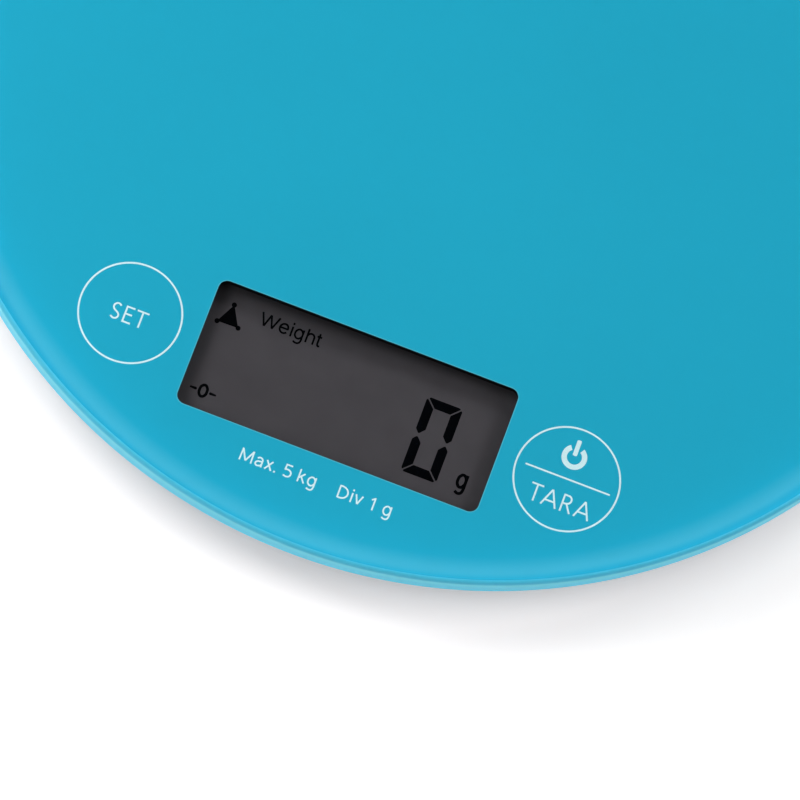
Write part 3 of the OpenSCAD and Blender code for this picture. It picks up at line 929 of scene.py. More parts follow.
# Plain single-line letters of the builder's own, each drawn in a box one wide with capitals one high.
GLYPHS: dict[str, list[Stroke]] = {
    "S": [(CURVED, (0.93, 0.90), (0.60, 1.0), (0.20, 0.93), (0.05, 0.75), (0.20, 0.58), (0.52, 0.48),
           (0.85, 0.37), (0.97, 0.22), (0.80, 0.05), (0.42, 0.0), (0.02, 0.09))],
    "E": [(STRAIGHT, (1, 1), (0, 1), (0, 0), (1, 0)), (STRAIGHT, (0, 0.53), (0.88, 0.53))],
    "T": [(STRAIGHT, (0, 1), (1, 1)), (STRAIGHT, (0.5, 1), (0.5, -0.05))],
    "A": [(STRAIGHT, (0, -0.05), (0.5, 1.02)), (STRAIGHT, (0.5, 1.02), (1, -0.05)),
          (STRAIGHT, (0.17, 0.30), (0.83, 0.30))],
    "R": [(STRAIGHT, (0, -0.05), (0, 1.05)), (STRAIGHT, (0.42, 0.5), (1, -0.04)),
          (CURVED, (0, 1), (0.30, 1), (0.62, 0.97), (0.80, 0.77), (0.66, 0.57), (0.33, 0.49), (0, 0.48))],
    "M": [(STRAIGHT, (0, -0.05), (0.03, 1.03)), (STRAIGHT, (0.03, 1.0), (0.5, 0.05)),
          (STRAIGHT, (0.5, 0.05), (0.97, 1.0)), (STRAIGHT, (0.97, 1.03), (1, -0.05))],
    "D": [(STRAIGHT, (0, -0.05), (0, 1.05)),
          (CURVED, (0, 1), (0.25, 1), (0.62, 0.93), (0.93, 0.70), (1, 0.47), (0.9, 0.24), (0.6, 0.05),
           (0.25, 0), (0, 0))],
    "W": [(STRAIGHT, (0, 1.03), (0.27, 0)), (STRAIGHT, (0.27, 0), (0.5, 1.0)),
          (STRAIGHT, (0.5, 1.0), (0.73, 0)), (STRAIGHT, (0.73, 0), (1, 1.03))],
    "a": [(CURVED, (0.10, 0.63), (0.48, 0.74), (0.86, 0.62), (0.93, 0.40), (0.93, 0.20), (0.93, -0.05)),
          (CURVED, (0.93, 0.42), (0.55, 0.41), (0.15, 0.34), (0.0, 0.18), (0.18, 0.02), (0.5, 0.02),
           (0.82, 0.12), (0.93, 0.26))],
    "x": [(STRAIGHT, (0, -0.03), (0.96, 0.77)), (STRAIGHT, (0.03, 0.77), (1, -0.03))],
    ".": [(STRAIGHT, (0, -0.06), (0, 0.10))],
    "5": [(STRAIGHT, (0.95, 1), (0.1, 1), (0.06, 0.52)),
          (CURVED, (0.06, 0.57), (0.42, 0.61), (0.82, 0.52), (1, 0.31), (0.86, 0.09), (0.48, 0.0),
           (0, 0.06))],
    "k": [(STRAIGHT, (0, -0.05), (0, 1.07)), (STRAIGHT, (0, 0.28), (0.86, 0.78)),
          (STRAIGHT, (0.34, 0.46), (1, -0.04))],
    "g": [(LOOP, (0.5, 0.74), (0.14, 0.62), (0, 0.37), (0.14, 0.11), (0.5, 0), (0.86, 0.13), (1, 0.37),
           (0.86, 0.62)),
          (CURVED, (1, 0.79), (1, 0.5), (1, 0.2), (0.99, -0.08), (0.84, -0.30), (0.5, -0.37),
           (0.06, -0.29))],
    "i": [(STRAIGHT, (0, -0.05), (0, 0.76)), (STRAIGHT, (0, 0.92), (0, 1.08))],
    "v": [(STRAIGHT, (0, 0.78), (0.5, 0)), (STRAIGHT, (0.5, 0), (1, 0.78))],
    "1": [(STRAIGHT, (1, -0.05), (1, 1.04)), (STRAIGHT, (1, 0.98), (0, 0.78))],
    "e": [(STRAIGHT, (0.02, 0.39), (1, 0.39)),
          (CURVED, (1, 0.36), (0.95, 0.56), (0.78, 0.70), (0.5, 0.74), (0.16, 0.63), (0, 0.37),
           (0.14, 0.11), (0.52, 0.0), (0.96, 0.12))],
    "h": [(STRAIGHT, (0, -0.05), (0, 1.05)),
          (CURVED, (0, 0.50), (0.22, 0.68), (0.58, 0.74), (0.92, 0.62), (1, 0.40), (1, 0.2), (1, -0.05))],
    "t": [(STRAIGHT, (0, 0.72), (0.96, 0.72)),
          (CURVED, (0.45, 0.98), (0.45, 0.7), (0.45, 0.3), (0.50, 0.08), (0.70, 0.0), (1.0, 0.03))],
    "0": [(LOOP, (0.5, 1), (0.12, 0.84), (0, 0.5), (0.12, 0.16), (0.5, 0), (0.88, 0.16), (1, 0.5),
           (0.88, 0.84))],
}


@dataclass(frozen=True)
class Sign:
    """One letter or figure, placed by the middles of its outer strokes."""

    glyph: str
    left: float
    right: float


@dataclass(frozen=True)
class Word:
    """Signs on one line, with the height of a capital and the width of the pen."""

    name: str
    baseline: float
    cap: float
    pen: float
    signs: tuple[Sign, ...]


def word(name: str, baseline: float, cap: float, pen: float, *places: tuple[str, float, float]) -> Word:
    """Returns a word from sizes in millimetres, with the left and right ends of each sign."""
    signs = tuple(Sign(glyph, left * MM, right * MM) for glyph, left, right in places)
    return Word(name, baseline * MM, cap * MM, pen * MM, signs)


@dataclass
class Lettering:
    """Flat lettering and plates of ink, between two levels."""

    low: float
    high: float
    lift: float = 0.0004 * MM

    def word(self, text: Word) -> Workpiece:
        """Draws a word with a pen of one width, each stroke a hair higher than the last.

        Args:
            text: The word.

        Returns:
            Its signs as one thin solid.
        """
        sheet = blank_curve("3D", 5)
        drawn = [(sign, stroke) for sign in text.signs for stroke in GLYPHS[sign.glyph]]
        for order, (sign, (kind, *points)) in enumerate(drawn):
            spline = sheet.splines.new("BEZIER")
            spline.bezier_points.add(len(points) - 1)
            handles, spline.use_cyclic_u = kind.value
            for knot, (x, y) in zip(spline.bezier_points, points):
                knot.co = (sign.left + x * (sign.right - sign.left), text.baseline + y * text.cap,
                           self.low + order * self.lift)
                knot.handle_left_type = knot.handle_right_type = handles
        bpy.ops.object.convert(target="MESH")
        with Workpiece(text.name) as piece:
            bpy.ops.mesh.select_mode(type="EDGE")
            bpy.ops.mesh.select_all(action="SELECT")
            piece.draw_up(self.high - self.low)
        with piece.modify("SOLIDIFY", thickness=text.pen, offset=0.0, use_even_offset=True):
            piece.face_out()
        return piece

    def plate(self, name: str, outline: Sequence[Spot]) -> Workpiece:
        """Fills a straight-sided outline.

        Args:
            name: What the piece is called.
            outline: Its corners.

        Returns:
            A thin solid.
        """
        sheet = blank_curve("2D", 1)
        sheet.fill_mode = "BOTH"
        spline = sheet.splines.new("POLY")
        spline.points.add(len(outline) - 1)
        spline.use_cyclic_u = True
        for knot, (x, y) in zip(spline.points, outline):
            knot.co = (x, y, 0, 1)
        bpy.ops.object.convert(target="MESH")
        piece = Workpiece(name)
        piece.thing.location = (0, 0, self.low)
        with piece.settle():
            piece.merge()
            piece.flatten()
            bpy.ops.mesh.select_all(action="SELECT")
            piece.draw_up(self.high - self.low)
            piece.face_out()
        return piece

    def bar(self, name: str, low: Spot, high: Spot) -> Workpiece:
        """Prints a straight bar between two corners."""
        return self.plate(name, [low, (high[0], low[1]), high, (low[0], high[1])])

    def ring(self, name: str, at: Spot, radius: float, line: float, start: float = 0.0,
             sweep: float = 360.0, steps: int = 144) -> Workpiece:
        """Prints a ring or an open ring, by spinning a small upright rectangle.

        Args:
            name: What it is called.
            at: Its middle.
            radius: Radius of its line's middle.
            line: Width of its line.
            start: Angle in degrees from which it runs clockwise.
            sweep: Degrees that it covers.
            steps: Sides to a full turn.

        Returns:
            The ring.
        """
        Workpiece.clear_bench()
        turn = math.radians(start)
        middle = (self.low + self.high) / 2
        where = (at[0] + radius * math.cos(turn), at[1] + radius * math.sin(turn), middle)
        bpy.ops.mesh.primitive_plane_add(size=1, location=where, rotation=(math.pi / 2, 0, turn))
        piece = Workpiece(name)
        piece.thing.scale = (line, self.high - self.low, 1)
        with piece.settle():
            bpy.ops.mesh.select_all(action="SELECT")
            bpy.ops.mesh.delete(type="ONLY_FACE")
            bpy.ops.mesh.select_all(action="SELECT")
            bpy.ops.mesh.spin(steps=round(steps * sweep / 360), angle=math.radians(sweep),
                              center=(*at, 0), axis=(0, 0, 1))
            piece.merge()
            if sweep < 360:
                bpy.ops.mesh.fill_holes(sides=0)
            piece.face_out()
        return piece


# The platform


@dataclass
class GlassDisc:
    """The thick glass disc with its ground rim."""

    radius: float = 92.46 * MM
    low: float = 13.02 * MM
    high: float = 18.0 * MM
    upper_round: float = 0.75 * MM
    lower_round: float = 0.40 * MM
    lip: float = 1.5 * MM
    sides: int = 360
    level: float = 0.9999
    keep_sharp: float = 60.0

    def build(self) -> None:
        """Turns the disc, grinds its edges round and polishes its faces."""
        disc = Workpiece.round_bar("glass_disc", self.radius, self.low, self.high, sides=self.sides)
        with disc:
            for at, width, steps in ((self.high, self.upper_round, 6), (self.low, self.lower_round, 3)):
                disc.round_off(lambda e: all(abs(v.co.z - at) < TOUCHING for v in e.verts), width, steps)
            disc.pick(Pick.FACES, lambda f: abs(f.normal.z) > self.level)
            bpy.ops.mesh.inset(thickness=self.lip)
            bpy.ops.mesh.inset(thickness=self.radius / 2)
        disc.coat(GroundGlass(), PolishedGlass(), InkedGlass())
        for face in disc.thing.data.polygons:
            face.material_index = 0 if abs(face.normal.z) < self.level else 1 if face.normal.z > 0 else 2
        disc.shade(self.keep_sharp).mount(Body.PLATFORM, "clear_glass", "glass_platform")


@dataclass
class KeyLegends:
    """White ink under the glass: the two touch keys and the line below the display."""

    low: float = 12.99 * MM
    high: float = 13.01 * MM
    ring_line: float = 0.30 * MM
    set_at: Spot = (-37.87 * MM, -64.16 * MM)
    set_ring: float = 8.47 * MM
    set_word: Word = word("set_word", -65.92, 2.62, 0.30,
                          ("S", -40.80, -39.52), ("E", -38.62, -37.28), ("T", -36.88, -34.85))
    tare_at: Spot = (37.99 * MM, -64.25 * MM)
    tare_ring: float = 8.75 * MM
    tare_word: Word = word("tare_word", -69.55, 2.76, 0.30, ("T", 32.92, 34.97), ("A", 35.30, 37.80),
                           ("R", 38.62, 40.25), ("A", 40.98, 43.42))
    divider: tuple[Spot, Spot] = ((30.82 * MM, -64.37 * MM), (45.46 * MM, -64.08 * MM))
    most: Word = word("capacity_print", -80.58, 1.95, 0.27, ("M", -12.86, -10.90), ("a", -10.22, -9.10),
                      ("x", -8.55, -7.45), (".", -6.88, -6.72), ("5", -5.38, -4.20), ("k", -2.85, -1.78),
                      ("g", -1.22, -0.06))
    step: Word = word("step_words", -80.70, 1.98, 0.27, ("D", 4.08, 5.58), ("i", 6.32, 6.48),
                      ("v", 6.90, 8.08), ("1", 9.55, 10.08), ("g", 11.86, 13.02))
    power_at: Spot = (37.92 * MM, -60.35 * MM)
    power_radius: float = 1.68 * MM
    power_line: float = 0.88 * MM
    power_up: float = 91.0
    power_gap: float = 66.0
    power_steps: int = 96
    power_bar: tuple[Spot, Spot] = ((37.50 * MM, -60.12 * MM), (38.24 * MM, -57.36 * MM))
    power_round: float = 0.22 * MM

    def build(self) -> None:
        """Prints the keys and the capacity line."""
        press = Lettering(self.low, self.high)
        set_key = press.ring("set_key_print", self.set_at, self.set_ring, self.ring_line)
        self._finish(set_key.take_in([press.word(self.set_word)]))
        tare_key = press.ring("tare_key_print", self.tare_at, self.tare_ring, self.ring_line)
        self._finish(tare_key.take_in([
            press.word(self.tare_word), *self._power(press), press.bar("tare_divider", *self.divider),
        ]))
        self._finish(press.word(self.most).take_in([press.word(self.step)]))

    def _finish(self, legend: Workpiece) -> None:
        """Inks a legend white and puts it on the platform."""
        legend.coat(WHITE_INK).mount(Body.PLATFORM, "white_print")

    def _power(self, press: Lettering) -> list[Workpiece]:
        """Prints the on/off sign: an open ring with a bar in its gap.

        Args:
            press: Prints the ring.

        Returns:
            The ring and the bar.
        """
        arc = press.ring("power_arc", self.power_at, self.power_radius, self.power_line,
                         self.power_up - self.power_gap / 2, 360 - self.power_gap, self.power_steps)
        bar = press.bar("power_bar", *self.power_bar)
        half = (self.high - self.low) / 2
        with bar:
            bar.round_off(lambda e: abs(e.verts[0].co.z - e.verts[1].co.z) > half, self.power_round, 4)
        return [arc, bar]


@dataclass
class DisplayMarks:
    """The dark marks that the display shows: a weight sign, a zero sign, one digit and its unit."""

    low: float = 9.71 * MM
    high: float = 9.73 * MM
    digit_left: float = 12.17 * MM
    digit_right: float = 18.36 * MM
    digit_top: float = -58.56 * MM
    digit_bottom: float = -71.88 * MM
    stroke: float = 1.58 * MM
    split: float = 0.17 * MM
    blunt: float = 0.38 * MM
    blunt_corner: float = 0.209 * MM
    tip_in: float = 0.66 * MM
    tip_gap: float = 0.32 * MM
    tip_blunt: float = 0.12 * MM
    tip_slope: float = 0.95
    knobs: tuple[Spot, ...] = ((-22.64 * MM, -55.72 * MM), (-24.37 * MM, -59.25 * MM),
                               (-20.72 * MM, -59.18 * MM))
    knob: float = 0.42 * MM
    knob_sides: int = 24
    wedges: tuple[tuple[float, int], ...] = ((-24.62 * MM, 1), (-20.12 * MM, -1))
    wedge_at: float = -71.20 * MM
    wedge_thin: float = 0.14 * MM
    wedge_thick: float = 0.24 * MM
    wedge_long: float = 1.05 * MM
    wedge_tip: float = 1.20 * MM
    weight: Word = word("weight", -57.25, 2.15, 0.31, ("W", -17.80, -14.80), ("e", -14.40, -13.05),
                        ("i", -12.37, -12.2), ("g", -11.75, -10.47), ("h", -9.72, -8.52),
                        ("t", -8.12, -7.30))
    unit: Word = word("unit", -71.05, 2.92, 0.50, ("g", 21.52, 22.86))
    zero: Word = word("zero", -72.16, 2.00, 0.46, ("0", -22.98, -21.72))

    def build(self) -> None:
        """Prints every mark as one piece."""
        press = Lettering(self.low, self.high)
        first, *rest = self._digit(press)
        first.thing.name = "display_marks"
        first.take_in([*rest, *self._wedges(press), *self._balance(press),
                       *[press.word(text) for text in (self.weight, self.unit, self.zero)]])
        first.coat(LCD_INK).mount(Body.PLATFORM, "display_ink")

    def _digit(self, press: Lettering) -> list[Workpiece]:
        """Prints the six lit segments of a nought, with mitred corners and pointed middles.

        Args:
            press: Prints the segments.

        Returns:
            The segments.
        """
        middle = (self.digit_top + self.digit_bottom) / 2
        left, right = self.digit_left, self.digit_right
        s, g, b, c = self.stroke, self.split, self.blunt, self.blunt_corner
        made = []
        for level, up in ((self.digit_top, 1), (self.digit_bottom, -1)):
            made.append(press.plate("segment", [
                (left + g + b, level), (right - g - b, level), (right - g - c, level - up * c),
                (right - g - s, level - up * s), (left + g + s, level - up * s),
                (left + g + c, level - up * c),
            ]))
            tip = middle + up * self.tip_gap
            for edge, out in ((left, -1), (right, 1)):
                inner = edge - out * s
                made.append(press.plate("segment", [
                    (edge, level - up * (g + b)), (edge - out * b / 2, level - up * (g + b / 2)),
                    (inner, level - up * (g + s)), (inner, tip + up * self.tip_slope * (s - self.tip_in)),
                    (edge - out * (self.tip_in + self.tip_blunt), tip),
                    (edge - out * (self.tip_in - self.tip_blunt), tip),
                    (edge, tip + up * self.tip_slope * self.tip_in),
                ]))
        return made

    def _wedges(self, press: Lettering) -> list[Workpiece]:
        """Prints the two short wedges beside the zero sign.

        Args:
            press: Prints them.

        Returns:
            The wedges.
        """
        y = self.wedge_at
        return [
            press.plate("wedge", [
                (x, y - self.wedge_thin), (x + self.wedge_long * way, y - self.wedge_thick),
                (x + self.wedge_tip * way, y), (x + self.wedge_long * way, y + self.wedge_thick),
                (x, y + self.wedge_thin),
            ]) for x, way in self.wedges
        ]

    def _balance(self, press: Lettering) -> list[Workpiece]:
        """Prints the weight sign: a triangle with a knob on each corner.

        Args:
            press: Prints the triangle.

        Returns:
            The triangle and its knobs.
        """
        made = [press.plate("balance", self.knobs)]
        for order, at in enumerate(self.knobs, 1):
            high = self.high + order * press.lift
            made.append(Workpiece.round_bar("knob", self.knob, self.low, high, at, self.knob_sides))
        return made


@dataclass
class DisplayCell:
    """The display's two glass plates, with the film on the front one and the grey layer between them."""

    film_inset: float = 0.3 * MM
    ledge: float = 0.9 * MM
    layer: float = 9.70 * MM
    gap: float = 0.01 * MM
    edge: float = 0.06 * MM
    level: float = 0.9

    def build(self) -> None:
        """Cuts both plates to the frame's display."""
        (left, front, low), (right, back, high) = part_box("lcd_cell")
        film_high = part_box("lcd_polariser")[1][2]
        rear = Workpiece.block("display_rear_plate", (left, front, low),
                               (right, back, self.layer - self.gap))
        rear.soften(self.edge).coat(LCD_GLASS).mount(Body.PLATFORM, "display_glass")
        plate = Workpiece.block("display_front_plate", (left, front, self.layer),
                                (right, back - self.ledge, high))
        with plate:
            plate.pick(Pick.FACES, lambda f: f.normal.z > self.level)
            bpy.ops.mesh.inset(thickness=self.film_inset)
            plate.draw_up(film_high - high)
        plate.soften(self.edge / 2).coat(CLEAR_PLATE, LCD_FILM)
        for face in plate.thing.data.polygons:
            face.material_index = 1 if face.normal.z < -self.level else 0
        plate.mount(Body.PLATFORM, "display_glass", "lcd_cell", "lcd_polariser")


@dataclass
class KeySprings:
    """The coil springs that carry a finger's touch from the glass to the board."""

    across: float = 8.0 * MM
    wire: float = 0.6 * MM
    turns: int = 4
    steps: int = 20
    waist: float = 0.25
    flat_turns: float = 0.5
    low: float = 7.3 * MM
    high: float = 12.5 * MM
    key_x: float = 38 * MM
    key_y: float = -64.2 * MM

    def build(self) -> None:
        """Winds both springs."""
        for key, side in (("set", -1), ("tare", 1)):
            spring = Workpiece.drawn_tube(f"{key}_spring", self._coil(side * self.key_x), self.wire)
            spring.coat(SPRING_WIRE).mount(Body.PLATFORM, "spring_steel", f"{key}_key_spring")

    def _coil(self, middle: float) -> list[Point]:
        """Works out the coil, waisted in its middle and flat at both ends.

        Args:
            middle: The coil's middle, across.

        Returns:
            Its points.
        """
        made = []
        for i in range(self.turns * self.steps + 1):
            share = i / (self.turns * self.steps)
            turn = 2 * math.pi * self.turns * share
            reach = (self.across - self.wire) / 2 * (1 - self.waist * math.sin(math.pi * share))
            rise = min(1.0, max(0.0, (share * self.turns - self.flat_turns) / (self.turns - 1)))
            made.append((middle + reach * math.cos(turn), self.key_y + reach * math.sin(turn),
                         self.low + (self.high - self.low) * rise))
        return made


@dataclass
class Platform:
    """All that moves down under a load."""

    def build(self) -> None:
        """Builds the glass, its prints, the display, the tray with its plate, and the key springs."""
        GlassDisc().build()
        KeyLegends().build()
        DisplayCell().build()
        DisplayMarks().build()
        for name, node, slot, finish, width in (
            ("tray_moulding", "platform_tray", "tray_plastic", TRAY_PLASTIC, 0.12 * MM),
            ("upper_plate", "cell_plate_upper", "sheet_steel", SHEET_STEEL, 0.08 * MM),
        ):
            Workpiece.from_node(name, node).soften(width).coat(finish).mount(Body.PLATFORM, slot, node)
        KeySprings().build()


# The base


@dataclass
class RubberFeet:
    """Four rubber feet with a ring groove in the sole."""

    radius: float = 7.5 * MM
    top: float = 2.1 * MM
    pitch: float = 70 * MM * math.sqrt(0.5)
    edge: float = 0.8 * MM
    softness: float = 0.06 * MM
    sides: int = 72
    sole: tuple[Spot, ...] = ((1.0, 0.0), (0.15, 0.35), (0.9, 0.0), (0.15, -0.35), (1.6, 0.0), (0.15, 0.25))

    def build(self) -> None:
        """Shapes one foot and copies it to the other three places."""
        first = self._foot((self.pitch, self.pitch))
        feet = {"foot_rear_right": first}
        others = {"foot_rear_left": (-1, 1), "foot_front_left": (-1, -1), "foot_front_right": (1, -1)}
        for node, (x, y) in others.items():
            feet[node] = first.copy_to("rubber_" + node, ((x - 1) * self.pitch, (y - 1) * self.pitch, 0.0))
        for node, foot in feet.items():
            foot.coat(RUBBER).mount(Body.BASE, "foot_rubber", node)

    def _foot(self, at: Spot) -> Workpiece:
        """Shapes one foot, whose sole is inset step by step, each step with its rise in millimetres.

        Args:
            at: Its middle.

        Returns:
            The foot.
        """
        foot = Workpiece.round_bar("rubber_foot_rear_right", self.radius, 0.0, self.top, at, self.sides)
        with foot:
            foot.round_off(lambda e: all(v.co.z < 0.1 * MM for v in e.verts), self.edge, 5)
            foot.pick(Pick.FACES, lambda f: f.normal.z < -0.99)
            for inset, rise in self.sole:
                bpy.ops.mesh.inset(thickness=inset * MM, depth=0.0)
                if rise:
                    bpy.ops.transform.translate(value=(0, 0, rise * MM))
        return foot.soften(self.softness, 2, 30.0)


@dataclass
class Base:
    """All that stands still, and the battery cover."""

    def build(self) -> None:
        """Builds the base moulding, its feet, the battery and the cover."""
        for name, node, slot, finish, width, body in (
            ("base_moulding", "base_shell", "base_plastic", BASE_PLASTIC, 0.12 * MM, Body.BASE),
            ("lower_plate", "cell_plate_lower", "sheet_steel", SHEET_STEEL, 0.08 * MM, Body.BASE),
            ("coin_cell_can", "coin_cell", "battery_steel", NICKEL, 0.18 * MM, Body.BASE),
            ("battery_lid", "battery_cover", "base_plastic", BASE_PLASTIC, 0.12 * MM, Body.COVER),
        ):
            Workpiece.from_node(name, node).soften(width).coat(finish).mount(body, slot, node)
        RubberFeet().build()


@dataclass
class WeighingBeam:
    """The load cell: a milled beam that bends between base and platform, with its gauges and their coat."""

    bend_from: Point = (-4.0 * MM, 0, 0)
    bend_to: Point = (4.0 * MM, 0, 0)

    def build(self) -> None:
        """Finishes the beam, the gauges and the sealant."""
        for name, node, slot, finish, width in (
            ("weighing_beam", "load_cell", "beam_aluminium", ALUMINIUM, 0.15 * MM),
            ("gauge_foils", "strain_gauges", "gauge_foil", FOIL, 0.02 * MM),
            ("gauge_coat", "gauge_sealant", "sealant", SILICONE, 0.16 * MM),
        ):
            piece = Workpiece.from_node(name, node).soften(width, 3).coat(finish)
            piece.hang(slot, node, self.bend_from, self.bend_to)


@dataclass
class Leads:
    """The insulated wires inside the case, on the frame's own routes, which are in millimetres."""

    wire: float = 0.9 * MM
    pitch: float = 1.1
    cell_route: tuple[Point, ...] = (
        (0, -6.6, 9.4), (0, -7.6, 8.7), (0, -10.5, 4.6), (0, -14, 3.7), (0, -26, 3.6), (0, -38, 3.6),
        (0, -47.15, 3.8), (0, -51.15, 4.3), (0, -52.15, 4.9), (0, -52.15, 5.35), (0, -52.15, 5.8),
    )
    battery_route: tuple[Point, ...] = (
        (4, 44, 8.8), (10, 40, 8.8), (18, 37, 6.8), (27, 32, 4.2), (34, 22, 3.6), (37, 8, 3.6),
        (37, -10, 3.6), (34, -26, 3.6), (28, -40, 3.6), (24, -47.15, 3.8), (22, -51.15, 4.3),
        (22, -52.15, 4.9), (22, -52.15, 5.35), (22, -52.15, 5.8),
    )
    bend_from: Point = (0, -45 * MM, 0)
    bend_to: Point = (0, -51 * MM, 0)

    def build(self) -> None:
        """Lays both looms."""
        four = [[(x + (i - 1.5) * self.pitch, y, z) for x, y, z in self.cell_route] for i in range(4)]
        two = [self._beside(self.battery_route, i * self.pitch) for i in range(2)]
        self._loom("cell_leads", four, RED_PVC, "wire_red", "cell_wires")
        self._loom("battery_leads", two, BLACK_PVC, "wire_black", "battery_wires")

    def _loom(self, name: str, routes: Sequence[Sequence[Point]], finish: Finish, slot: str,
              node: str) -> None:
        """Makes one loom of its wires, finishes it and bakes its place into its mesh.

        Args:
            name: What the loom is called.
            routes: The route of each wire.
            finish: Their insulation.
            slot: The record's slot.
            node: The frame node that the loom stands for.
        """
        first, *rest = [
            Workpiece.drawn_tube(name, [(x * MM, y * MM, z * MM) for x, y, z in route], self.wire)
            for route in routes
        ]
        first.take_in(rest).coat(finish).hang(slot, node, self.bend_from, self.bend_to)

    def _beside(self, route: Sequence[Point], step: float) -> list[Point]:
        """Moves a route sideways, level with the floor.

        Args:
            route: Its points.
            step: How far it moves.

        Returns:
            The moved points.
        """
        moved, level = [], Vector((1, 0, 0))
        for i, (x, y, z) in enumerate(route):
            ahead = Vector(route[min(i + 1, len(route) - 1)]) - Vector(route[max(i - 1, 0)])
            if math.hypot(ahead.x, ahead.y) > 0.1 * ahead.length:
                level = Vector((ahead.x, ahead.y, 0)).normalized()
            moved.append((x - level.y * step, y + level.x * step, z))
        return moved


@dataclass
class Dressing:
    """Finishes for the frame nodes that keep their own shape."""

    finishes: dict[str, Surface] = field(default_factory=lambda: {
        "glass_print": BackPrint(), "adhesive_tape": TAPE, "display_gasket": FOAM,
        "lcd_reflector": LCD_FILM, "zebra_strip": ZEBRA, "lcd_support_strip": FOAM,
        "main_board": SolderMask(), "chip_cover": EPOXY, "board_components": CERAMIC, "board_screws": ZINC,
        "cell_screws_upper": ZINC, "cell_screws_lower": ZINC, "battery_contact_negative": PLATED_STRIP,
        "battery_contact_positive": PLATED_STRIP,
    })

    def build(self) -> None:
        """Gives each of these nodes its finish."""
        for node, finish in self.finishes.items():
            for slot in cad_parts[node].material_slots:
                slot.material = finish.material()
            log.info("%s: %s", node, finish.name)


# The studio


def direction(azimuth: float, elevation: float) -> Vector:
    """Returns the way from the scale to a place in the studio, by its angles in degrees."""
    a, e = math.radians(azimuth), math.radians(elevation)
    return Vector((math.sin(a) * math.cos(e), -math.cos(a) * math.cos(e), math.sin(e)))


@dataclass
class CameraRig:
    """The photograph's camera: above the front edge, turned in its own plane."""

    azimuth: float = -1.52
    elevation: float = 74.06
    roll: float = 22.24
    distance: float = 0.99515
    target: Point = (8.063 * MM, -63.188 * MM, 18.0 * MM)
    picture: int = 800
    focal_pixels: float = 6155.0
    sensor: float = 36.0
    nearest: float = 0.01
    farthest: float = 100.0

    def build(self) -> None:
        """Places the camera and makes it the scene's."""
        a, r = math.radians(self.azimuth), math.radians(self.roll)
        back = direction(self.azimuth, self.elevation)
        right = Vector((math.cos(a), math.sin(a), 0))
        up = right.cross(-back)
        across = math.cos(r) * right + math.sin(r) * up
        upward = -math.sin(r) * right + math.cos(r) * up
        lens = bpy.data.cameras.new("camera")
        lens.sensor_width = self.sensor
        lens.lens = self.sensor * self.focal_pixels / self.picture
        lens.clip_start, lens.clip_end = self.nearest, self.farthest
        camera = bpy.data.objects.new("camera", lens)
        turn = Matrix((across, upward, back)).transposed().to_4x4()
        camera.matrix_world = Matrix.Translation(Vector(self.target) + back * self.distance) @ turn
        bpy.context.scene.collection.objects.link(camera)
        bpy.context.scene.camera = camera
        log.info("camera: %.1f mm lens, %.2f m away", lens.lens, self.distance)


@dataclass(frozen=True)
class Softbox:
    """One soft lamp, by where it stands and how much it gives a level surface."""

    name: str
    azimuth: float
    elevation: float
    distance: float
    width: float
    height: float
    level: float
    aim: Point = (0.0, -30.0 * MM, 15.0 * MM)

    def hang(self) -> None:
        """Hangs the lamp and points it at the scale's front."""
        way = direction(self.azimuth, self.elevation)
        light = bpy.data.lights.new(self.name, "AREA")
        light.shape = "RECTANGLE"
        light.size, light.size_y = self.width, self.height
        slope = math.sin(math.radians(self.elevation))
        light.energy = self.level * math.pi ** 2 * self.distance ** 2 / slope
        lamp = bpy.data.objects.new(self.name, light)
        lamp.location = Vector(self.aim) + way * self.distance
        lamp.rotation_mode = "QUATERNION"
        lamp.rotation_quaternion = way.to_track_quat("Z", "Y")
        bpy.context.scene.collection.objects.link(lamp)


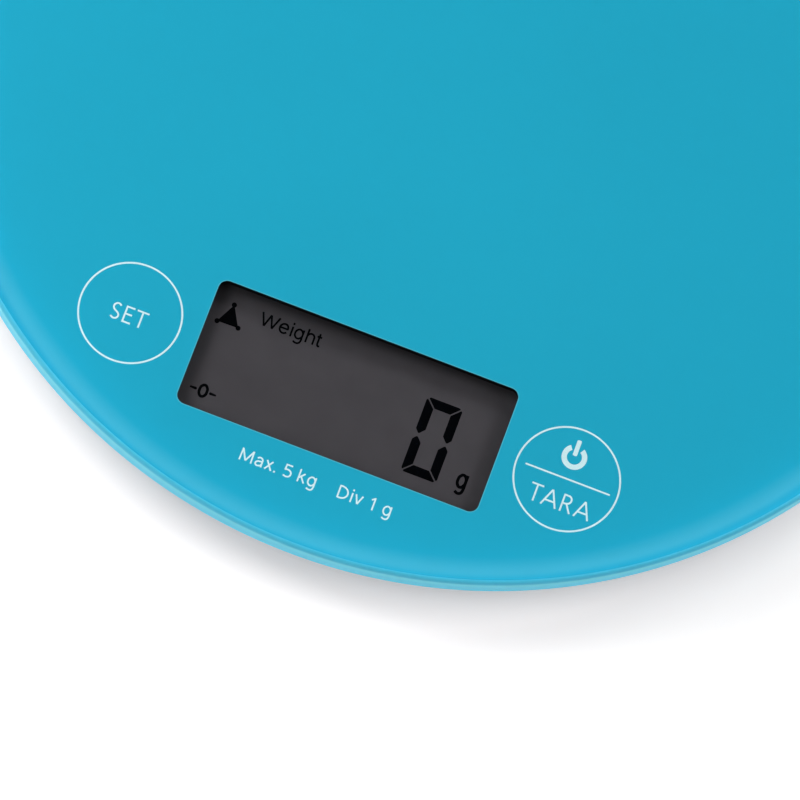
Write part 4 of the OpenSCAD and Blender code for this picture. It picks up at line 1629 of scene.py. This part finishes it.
@dataclass
class Studio:
    """A pale table, soft lamps, and a sky that is bright low down and dark overhead."""

    lamps: tuple[Softbox, ...] = (
        Softbox("lamp_right", 100.0, 44.0, 1.35, 0.50, 0.62, 0.135),
        Softbox("lamp_back_right", 148.0, 39.0, 1.50, 0.62, 0.55, 0.24),
        Softbox("lamp_back_left", 206.0, 40.0, 1.10, 0.46, 0.40, 0.13),
        Softbox("lamp_left", 260.0, 46.0, 0.65, 0.28, 0.33, 0.325),
        Softbox("lamp_front_left", 316.0, 50.0, 0.60, 0.30, 0.23, 0.15),
    )
    sky: float = 0.05
    mirrored_sky: Run = (0.5, 0.9, 0.8, 0.024)
    table: float = 4.0
    table_sides: int = 128
    table_thick: float = 30 * MM
    table_round: float = 10 * MM

    def build(self) -> None:
        """Sets the table, the lamps and the sky."""
        for lamp in self.lamps:
            lamp.hang()
        self._table()
        self._sky()
        bpy.context.scene.view_settings.view_transform = "Standard"

    def _table(self) -> None:
        """Lays the round table top, with a turned-down rim."""
        top = Workpiece.round_bar("table", self.table, -self.table_thick, 0.0, sides=self.table_sides)
        with top:
            top.round_off(lambda e: all(v.co.z > -0.01 * MM for v in e.verts), self.table_round, 3)
        top.coat(TablePaper()).thing

    def _sky(self) -> None:
        """Makes the sky: for light and for mirrors it is bright low down, and the camera sees it white."""
        world = bpy.data.worlds.new("studio")
        bpy.context.scene.world = world
        world.use_nodes = True
        bench = NodeBench(world.node_tree)
        height = bench.along(bench.add("ShaderNodeTexCoord").outputs["Generated"], "Z")
        low_down = bench.sum_of("SUBTRACT", 1.0, bench.sum_of("MULTIPLY", height, height))
        light = bench.sum_of("MULTIPLY", low_down, self.sky)
        path = bench.add("ShaderNodeLightPath").outputs
        by_mirror = bench.sum_of("MAXIMUM", path["Is Glossy Ray"], path["Is Transmission Ray"])
        unseen = bench.either(by_mirror, light, bench.span(height, *self.mirrored_sky))
        level = bench.either(path["Is Camera Ray"], unseen, 1.0)
        glow = bench.add("ShaderNodeBackground", {"Color": (1, 1, 1, 1), "Strength": level})
        bench.add("ShaderNodeOutputWorld", {"Surface": glow.outputs["Background"]})


def main() -> None:
    """Builds the scale and its studio in order."""
    logging.basicConfig(level=logging.INFO, format="%(name)s: %(message)s")
    CameraRig().build()
    for part in (Platform(), Base(), WeighingBeam(), Leads(), Dressing()):
        part.build()
    Studio().build()


if __name__ == "__main__":
    main()
